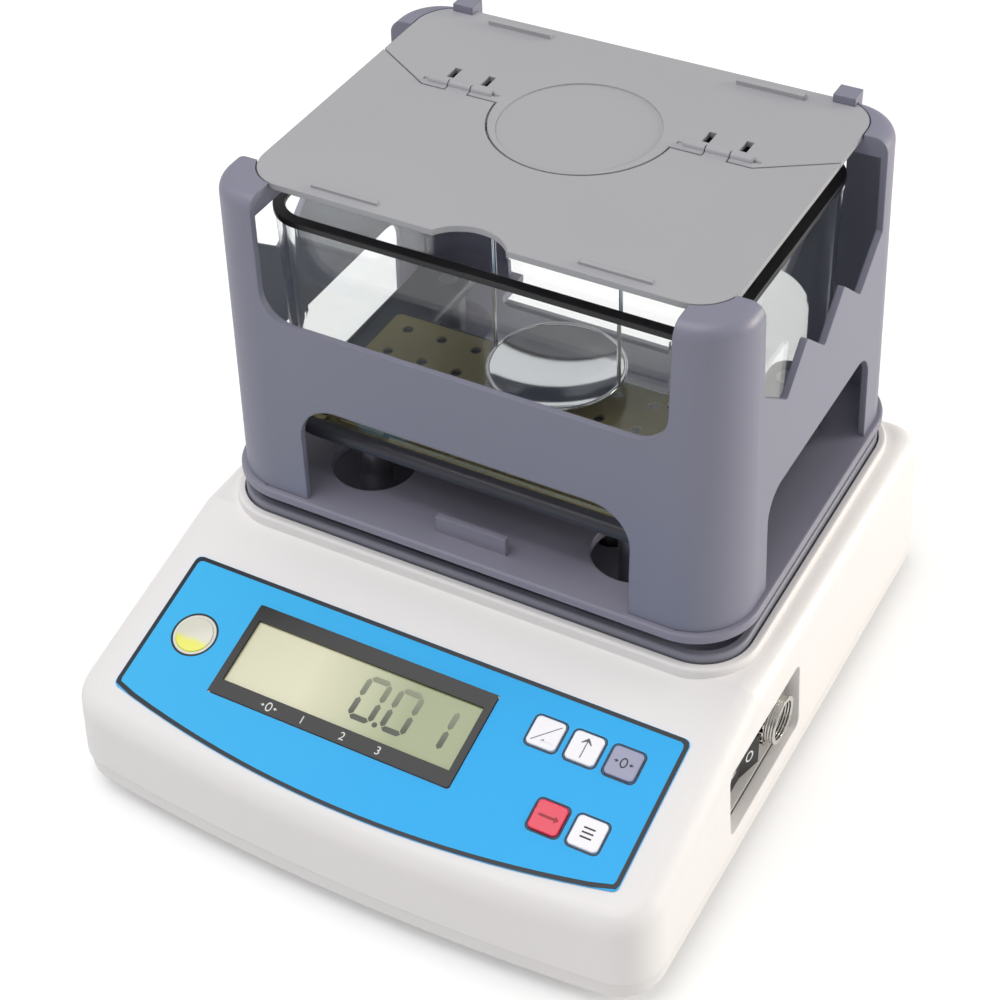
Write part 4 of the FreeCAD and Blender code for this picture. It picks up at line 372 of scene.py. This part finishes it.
def fading_segment(name):
    """Switched crystal: dark grey-green at the bottom of a digit, paler at its top."""
    material, tree = empty_material(name)
    place = add_node(tree, "ShaderNodeTexCoord").outputs["Object"]
    along = add_node(tree, "ShaderNodeSeparateXYZ", None, Vector=place)
    amount = add_node(tree, "ShaderNodeMapRange", None, Value=along.outputs[1],
                      From_Min=-72 * MM, From_Max=-60 * MM, To_Min=0.0, To_Max=1.0)
    tint = add_node(tree, "ShaderNodeMix", {"data_type": "RGBA"}, i0=amount.outputs[0],
                    i6=linear("454A3A"), i7=linear("8E9377"))
    surface = add_node(tree, "ShaderNodeBsdfPrincipled", None, Base_Color=tint.outputs[2], Roughness=0.3)
    add_node(tree, "ShaderNodeOutputMaterial", None, Surface=surface.outputs[0])
    return material


DIGIT_TOP = -15.6
DIGIT_LOW = -30.2
DIGIT_WIDTH = 8.3
STROKE = 1.75
SEGMENT_GAP = 0.2
LIT = {"0": "abcdef", "1": "bc"}


def segment_loops(figure, left):
    """Six-cornered bars of one figure, its left edge at left. The bars lean a little to the right."""
    near = left + STROKE / 2
    far = left + DIGIT_WIDTH - STROKE / 2
    top = DIGIT_TOP - STROKE / 2
    low = DIGIT_LOW + STROKE / 2
    middle = (top + low) / 2
    ends = {"a": ((near, top), (far, top)), "b": ((far, middle), (far, top)),
            "c": ((far, low), (far, middle)), "d": ((near, low), (far, low)),
            "e": ((near, low), (near, middle)), "f": ((near, middle), (near, top))}
    half = STROKE / 2
    loops = []
    for name in LIT[figure]:
        (x0, y0), (x1, y1) = ends[name]
        if y0 == y1:
            x0, x1 = x0 + SEGMENT_GAP, x1 - SEGMENT_GAP
            loop = [(x0, y0), (x0 + half, y0 + half), (x1 - half, y0 + half), (x1, y0),
                    (x1 - half, y0 - half), (x0 + half, y0 - half)]
        else:
            y0, y1 = y0 + SEGMENT_GAP, y1 - SEGMENT_GAP
            loop = [(x0, y0), (x0 - half, y0 + half), (x0 - half, y1 - half), (x0, y1),
                    (x0 + half, y1 - half), (x0 + half, y0 + half)]
        loops.append([(x + 0.03 * (y - low), y) for x, y in loop])
    return loops


def round_loop(x, y, radius, steps=40, tall=1.0):
    """Closed circle, or an oval when tall isn't 1."""
    turns = [2 * math.pi * step / steps for step in range(steps)]
    return [(x + radius * math.cos(turn), y + radius * tall * math.sin(turn)) for turn in turns]


dress(["display_bezel"], printed_film("black_gloss_frame", "12100F", 0.12))
dress(["display_glass", "display_backlight"], liquid_crystal("liquid_crystal_field_painted_highlight", "E4E0BE", "98A273"))
segment_grey = fading_segment("liquid_crystal_segments")
reading = segment_loops("0", -12.3) + segment_loops("0", -1.8) + segment_loops("1", 9.8)
reading.append(round_loop(-2.9, -29.4, 0.85, 12))
printed_shape("display_reading", reading, 0.0, segment_grey)

white_ink = printed_film("white_ink", "E6E6E6", 0.35)
for figure, x in (("1", -22.7), ("2", -9.3), ("3", 2.4)):
    number = bpy.data.curves.new("frame_number_" + figure, "FONT")
    number.body = figure
    number.size = 3.6 * MM
    number.align_x = "CENTER"
    number.align_y = "CENTER"
    number.extrude = INK_HALF * MM
    made = bpy.data.objects.new("frame_number_" + figure, number)
    settle_shape(made, FRAME_TOP, white_ink, "base",
                 PANEL_PLACE @ Matrix.Translation((x * MM, FRAME_TEXT_LINE * MM, 0)))


def zero_mark(x, y, size):
    """A zero between two small arrows that point at it, the usual sign for setting zero."""
    loops = [round_loop(x, y, size * 0.42, 28, 1.45), round_loop(x, y, size * 0.27, 28, 1.65)]
    for side in (-1, 1):
        tip = x + side * size * 0.62
        neck = x + side * size * 0.92
        tail = x + side * size * 1.1
        wide = size * 0.22
        thin = size * 0.06
        loops.append([(tip, y), (neck, y + wide), (neck, y + thin), (tail, y + thin),
                      (tail, y - thin), (neck, y - thin), (neck, y - wide)])
    return loops


printed_shape("frame_zero_mark", zero_mark(-33.8, FRAME_TEXT_LINE, 2.4), FRAME_TOP, white_ink)


# Keys: five square caps with a soft satin face, white, grey and red, each in a dark printed outline.
# They stand a little proud of the film and press the tact switches behind it.

def square_loop(x, y, half, corner):
    """Rounded square."""
    points = []
    for side_x, side_y, start in ((1, 1, 0), (-1, 1, 90), (-1, -1, 180), (1, -1, 270)):
        for step in range(6):
            turn = math.radians(start + 90 * step / 5)
            points.append((x + side_x * (half - corner) + corner * math.cos(turn),
                           y + side_y * (half - corner) + corner * math.sin(turn)))
    return points


def bar_loop(x0, y0, x1, y1, width):
    """Straight stroke with square ends."""
    length = math.hypot(x1 - x0, y1 - y0)
    side_x, side_y = -(y1 - y0) / length * width / 2, (x1 - x0) / length * width / 2
    return [(x0 + side_x, y0 + side_y), (x0 - side_x, y0 - side_y), (x1 - side_x, y1 - side_y),
            (x1 + side_x, y1 + side_y)]


KEY_PLACES = [(43.5, -13.4), (55.4, -13.4), (67.3, -13.4), (55.4, -35.8), (67.3, -35.8)]
KEY_TOP = 1.1
outlines = []
for x, y in KEY_PLACES:
    outlines += [square_loop(x, y, 5.25, 1.9), square_loop(x, y, 4.78, 1.5)]
printed_shape("key_outlines", outlines, PANEL_TOP, navy_ink)

dress(["key_upper_left", "key_upper_middle", "key_lower_right"],
      moulded_plastic("white_key_plastic", "FAF8FC", 0.3, 0.3, 0.006, 0.02, 0.4))
dress(["key_upper_right"], moulded_plastic("grey_key_plastic", "9C9DB8", 0.3, 0.3, 0.006, 0.04, 0.4))
dress(["key_lower_left"], moulded_plastic("red_key_plastic", "EC2F50", 0.22, 0.3, 0.006, 0.05, 0.4))

grey_ink = printed_film("grey_ink", "70747C", 0.35)
black_ink = printed_film("black_ink", "17181B", 0.35)
red_ink = printed_film("dark_red_ink", "A3122C", 0.3)
printed_shape("back_step_sign", [bar_loop(40.3, -16.6, 47.1, -10.3, 0.28),
                                 bar_loop(44.0, -16.0, 47.0, -16.0, 0.3),
                                 [(42.9, -16.0), (44.0, -15.3), (44.0, -16.7)]],
              KEY_TOP, grey_ink, "key_upper_left")
printed_shape("up_step_sign", [bar_loop(55.4, -16.6, 55.4, -11.4, 0.32),
                               bar_loop(55.4, -10.4, 53.9, -12.2, 0.32),
                               bar_loop(55.4, -10.4, 56.9, -12.2, 0.32)],
              KEY_TOP, grey_ink, "key_upper_middle")
printed_shape("zero_sign", zero_mark(67.3, -13.4, 2.6), KEY_TOP, black_ink, "key_upper_right")
printed_shape("confirm_sign", [bar_loop(52.6, -35.8, 57.4, -35.8, 0.8),
                               [(57.4, -36.9), (58.7, -35.8), (57.4, -34.7)]],
              KEY_TOP, red_ink, "key_lower_left")
printed_shape("list_sign", [bar_loop(65.6, y, 69.0, y, 0.5) for y in (-34.4, -35.8, -37.2)],
              KEY_TOP, black_ink, "key_lower_right")


# Spirit level: a white cup with a clear lens over yellow-green spirit. The spirit lies low in the
# view and the bubble's pale field fills the rest. A thin dark line is printed round it.

def level_lens(name):
    """Clear lens: pale grey-beige bubble, and bright yellow spirit along its front edge."""
    material, tree = empty_material(name)
    place = add_node(tree, "ShaderNodeTexCoord").outputs["Object"]
    along = add_node(tree, "ShaderNodeSeparateXYZ", None, Vector=place)
    cloud = add_node(tree, "ShaderNodeTexNoise", None, Vector=place, Scale=180.0, Detail=2.0)
    edge = add_node(tree, "ShaderNodeMath", {"operation": "MULTIPLY_ADD"}, i0=cloud.outputs[0], i1=0.0014,
                    i2=along.outputs[1])
    amount = add_node(tree, "ShaderNodeMapRange", None, Value=edge.outputs[0],
                      From_Min=-70.3 * MM, From_Max=-68.3 * MM, To_Min=0.0, To_Max=1.0)
    tint = add_node(tree, "ShaderNodeMix", {"data_type": "RGBA"}, i0=amount.outputs[0],
                    i6=linear("EDEB3C"), i7=linear("DEDCCB"))
    surface = add_node(tree, "ShaderNodeBsdfPrincipled", None, Base_Color=tint.outputs[2], Roughness=0.12)
    surface.inputs["Coat Weight"].default_value = 0.6
    surface.inputs["Coat Roughness"].default_value = 0.03
    add_node(tree, "ShaderNodeOutputMaterial", None, Surface=surface.outputs[0])
    return material


dress(["spirit_level_cup"], moulded_plastic("level_cup_plastic", "E3E3DA", 0.3, 0.4, 0.006, 0.02, 0.3))
dress(["spirit_level_lens"], level_lens("level_spirit"))
printed_shape("level_outline", [round_loop(-67.4, -24.3, 7.25, 56), round_loop(-67.4, -24.3, 6.62, 56)],
              PANEL_TOP, navy_ink)


# Power switch in the side pocket: black nylon body and rocker. The rocker carries the usual white
# bar and ring for on and off, printed on its two faces.

glossy_nylon = moulded_plastic("glossy_black_nylon", "0E0E10", 0.3, 0.35, 0.004, 0.05, 0.4)
glossy_nylon.node_tree.nodes["Principled BSDF"].inputs["Specular IOR Level"].default_value = 0.22
dress(["switch_body", "switch_rocker"], glossy_nylon)


def face_place(centre, normal):
    """Place of a face on the object's right side: x to the rear along the face, y up, z out."""
    out = Vector(normal).normalized()
    upward = Vector((0, 0, 1))
    along = upward.cross(out)
    return Matrix(((along.x, upward.x, out.x, centre[0] * MM), (along.y, upward.y, out.y, centre[1] * MM),
                   (along.z, upward.z, out.z, centre[2] * MM), (0, 0, 0, 1)))


RAISED_FACE = face_place((90.3, -24.35, 28.0), (0.9703, -0.2419, 0))
PRESSED_FACE = face_place((89.2, -32.65, 28.0), (1, 0, 0))
printed_shape("off_ring", [round_loop(0, 0, 1.7, 32, 1.2), round_loop(0, 0, 1.15, 32, 1.3)], 0.0, white_ink,
              "switch_rocker", RAISED_FACE)
printed_shape("on_bar", [bar_loop(-1.5, 0, 1.5, 0, 0.6)], 0.0, white_ink, "switch_rocker",
              PRESSED_FACE)


# Data socket in the side pocket: nickel-plated brass shell with a thread, gripped by a knurled ring,
# round a black insert with four gold pins.

def plated_thread(name, pitch_mm):
    """Nickel plate over a turned thread: bright, with ridges one pitch apart along the axis."""
    material, tree = empty_material(name)
    place = add_node(tree, "ShaderNodeTexCoord").outputs["Object"]
    ridges = add_node(tree, "ShaderNodeTexWave", {"bands_direction": "X"}, Vector=place,
                      Scale=2 * math.pi / (20 * pitch_mm * MM))
    bump = add_node(tree, "ShaderNodeBump", None, Height=ridges.outputs[1], Distance=0.25 * MM,
                    Strength=0.8)
    speckle = add_node(tree, "ShaderNodeTexNoise", None, Vector=place, Scale=1 / (0.8 * MM))
    shine = add_node(tree, "ShaderNodeMapRange", None, Value=speckle.outputs[0], To_Min=0.1, To_Max=0.24)
    surface = add_node(tree, "ShaderNodeBsdfPrincipled", None, Base_Color=linear("DAD8D3"), Metallic=1.0,
                       Roughness=shine.outputs[0], Normal=bump.outputs[0])
    add_node(tree, "ShaderNodeOutputMaterial", None, Surface=surface.outputs[0])
    return material


dress(["socket_shell"], plated_thread("nickel_plated_thread", 0.8))
dress(["socket_insert"], black_nylon)
dress(["socket_pins"], turned_brass)

bpy.ops.object.select_all(action="DESELECT")
bpy.ops.mesh.primitive_cylinder_add(
    vertices=40, radius=8.3 * MM, depth=2.4 * MM, end_fill_type="NOTHING",
    location=(89.3 * MM, -7.5 * MM, 28.0 * MM), rotation=(0, math.pi / 2, 0))
ring = bpy.context.object
ring.name = "socket_knurled_ring"
bpy.ops.object.mode_set(mode="EDIT")
bpy.ops.mesh.select_mode(type="FACE")
bpy.ops.mesh.select_all(action="DESELECT")
bpy.ops.object.mode_set(mode="OBJECT")
for index, face in enumerate(ring.data.polygons):
    face.select = index % 2 == 0
bpy.ops.object.mode_set(mode="EDIT")
bpy.ops.mesh.inset(thickness=0.22 * MM, depth=0.4 * MM, use_individual=True)
bpy.ops.object.mode_set(mode="OBJECT")
wall = ring.modifiers.new("wall", "SOLIDIFY")
wall.thickness = 0.8 * MM
wall.offset = -1.0
bpy.ops.object.modifier_apply(modifier="wall")
bpy.ops.object.transform_apply(location=True, rotation=True, scale=True)
ring.data.materials.append(bright_metal("nickel_plated_ring", "D6D4CF", 0.16, 0.5))
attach(ring, "base")


# Tray, weighed platform and four-column tower: grey moulded ABS with a satin face. Their thin edges
# catch the light, because the mould rounds them by about half a millimetre.

dress(["lower_tray"], moulded_plastic("grey_tray_abs", "8A8A97", 0.42, 0.5, 0.014, 0.04, 0.7))
dress(["platform_plate"], moulded_plastic("grey_plate_abs", "8A8898", 0.42, 0.5, 0.014, 0.04, 0.7))
dress(["tower_frame"], moulded_plastic("grey_tower_abs", "828293", 0.4, 0.5, 0.012, 0.03, 0.7))


# Lids: the same grey ABS as the tower, with an even eroded face; their colour is painted a shade lighter
# for the light on their tops. They lie in the tower's top on a step, and the front one swings up on two
# steel pins. Dark blocks under the slots are painted shade.

# Painted top light: the lids' colour is the tower's grey made lighter for the light that falls on them.
dress(["front_lid", "rear_lid"],
      moulded_plastic("lid_abs_painted_top_light", "A7A7AB", 0.48, 0.6, 0.02, 0.02, 0.5))
dress(["lid_hinge_pins"], zinc_plated_steel)

# Painted shade: dark blocks under the rear lid's slots make the slots look dark, as they do in shade.
bpy.ops.object.select_all(action="DESELECT")
bpy.ops.mesh.primitive_cube_add(size=1, location=(34.6 * MM, 59.0 * MM, 165.6 * MM))
slot_shade_block = bpy.context.object
slot_shade_block.name = "lid_slot_painted_shade"
slot_shade_block.scale = (4.0 * MM, 7.2 * MM, 3.2 * MM)
bpy.ops.object.transform_apply(location=True, rotation=True, scale=True)
bpy.ops.object.mode_set(mode="EDIT")
bpy.ops.mesh.select_all(action="DESELECT")
bpy.ops.object.mode_set(mode="OBJECT")
for face in slot_shade_block.data.polygons:
    face.select = face.normal.z > 0.9
bpy.ops.object.mode_set(mode="EDIT")
bpy.ops.mesh.select_mode(type="FACE")
bpy.ops.mesh.inset(thickness=0.8 * MM)
bpy.ops.mesh.extrude_region_move(TRANSFORM_OT_translate={"value": (0, 0, -2.4 * MM)})
bpy.ops.object.mode_set(mode="OBJECT")
soft_edges = slot_shade_block.modifiers.new("soft_edges", "BEVEL")
soft_edges.width = 0.25 * MM
soft_edges.segments = 2
second = slot_shade_block.modifiers.new("second", "ARRAY")
second.use_relative_offset = False
second.use_constant_offset = True
second.constant_offset_displace = (11.1 * MM, 0, 0)
other_side = slot_shade_block.modifiers.new("other_side", "MIRROR")
for step in ("soft_edges", "second", "other_side"):
    bpy.ops.object.modifier_apply(modifier=step)
slot_shade_block.data.materials.append(moulded_plastic("black_slot_painted_shade", "141416", 0.5, 0.4, 0.006, 0.05, 0.2))
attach(slot_shade_block, "tower")


# Water tank: clear acrylic, polished inside and out, with a black rubber edging pushed on its rim.
# Light passes through the walls on its way to what stands behind them.

def clear_acrylic(name):
    """Clear acrylic: glossy, hardly tinted, and bright behind because it holds back little light."""
    material, tree = empty_material(name)
    path = add_node(tree, "ShaderNodeLightPath")
    passing = add_node(tree, "ShaderNodeMath", {"operation": "MAXIMUM"},
                       i0=path.outputs["Is Shadow Ray"], i1=path.outputs["Is Diffuse Ray"])
    open_way = add_node(tree, "ShaderNodeBsdfTransparent", None, Color=linear("F6F9F9"))
    surface = add_node(tree, "ShaderNodeBsdfPrincipled", None, Base_Color=linear("FAFCFC"), Roughness=0.015,
                       IOR=1.49)
    surface.inputs["Transmission Weight"].default_value = 1.0
    mixed = add_node(tree, "ShaderNodeMixShader", None, Fac=passing.outputs[0], i1=surface.outputs[0],
                     i2=open_way.outputs[0])
    add_node(tree, "ShaderNodeOutputMaterial", None, Surface=mixed.outputs[0])
    return material


dress(["water_tank"], clear_acrylic("clear_acrylic"))
dress(["tank_rim_seal"], moulded_plastic("black_rubber", "141316", 0.3, 0.5, 0.006, 0.05, 0.3))


# Tank shelf on four fixed posts: dark painted steel, with a tan perforated sheet on it that the tank
# stands on. Posts, nuts and screws are zinc-plated steel.

dress(["tank_shelf"], moulded_plastic("dark_satin_paint", "3E3E47", 0.35, 0.8, 0.02, 0.05, 0.8))
dress(["shelf_pads"], moulded_plastic("tan_perforated_sheet", "B7A57C", 0.5, 0.8, 0.03, 0.06, 0.3))
dress(["tank_posts", "post_nuts", "shelf_screws"], zinc_plated_steel)


# Hanger and basket: black acetal block and yoke, with a polished stainless wire frame that carries
# the dished pan in the water.

dress(["hanger_block", "basket_yoke"],
      moulded_plastic("black_acetal", "1B1B1E", 0.3, 0.4, 0.006, 0.05, 0.3))
dress(["basket_frame"], bright_metal("polished_stainless_wire", "CFCFD2", 0.12, 0.4))
dress(["basket_pan"], bright_metal("polished_stainless_dish", "DADADC", 0.08, 0.8, (1.0, 1.0, 1.0)))
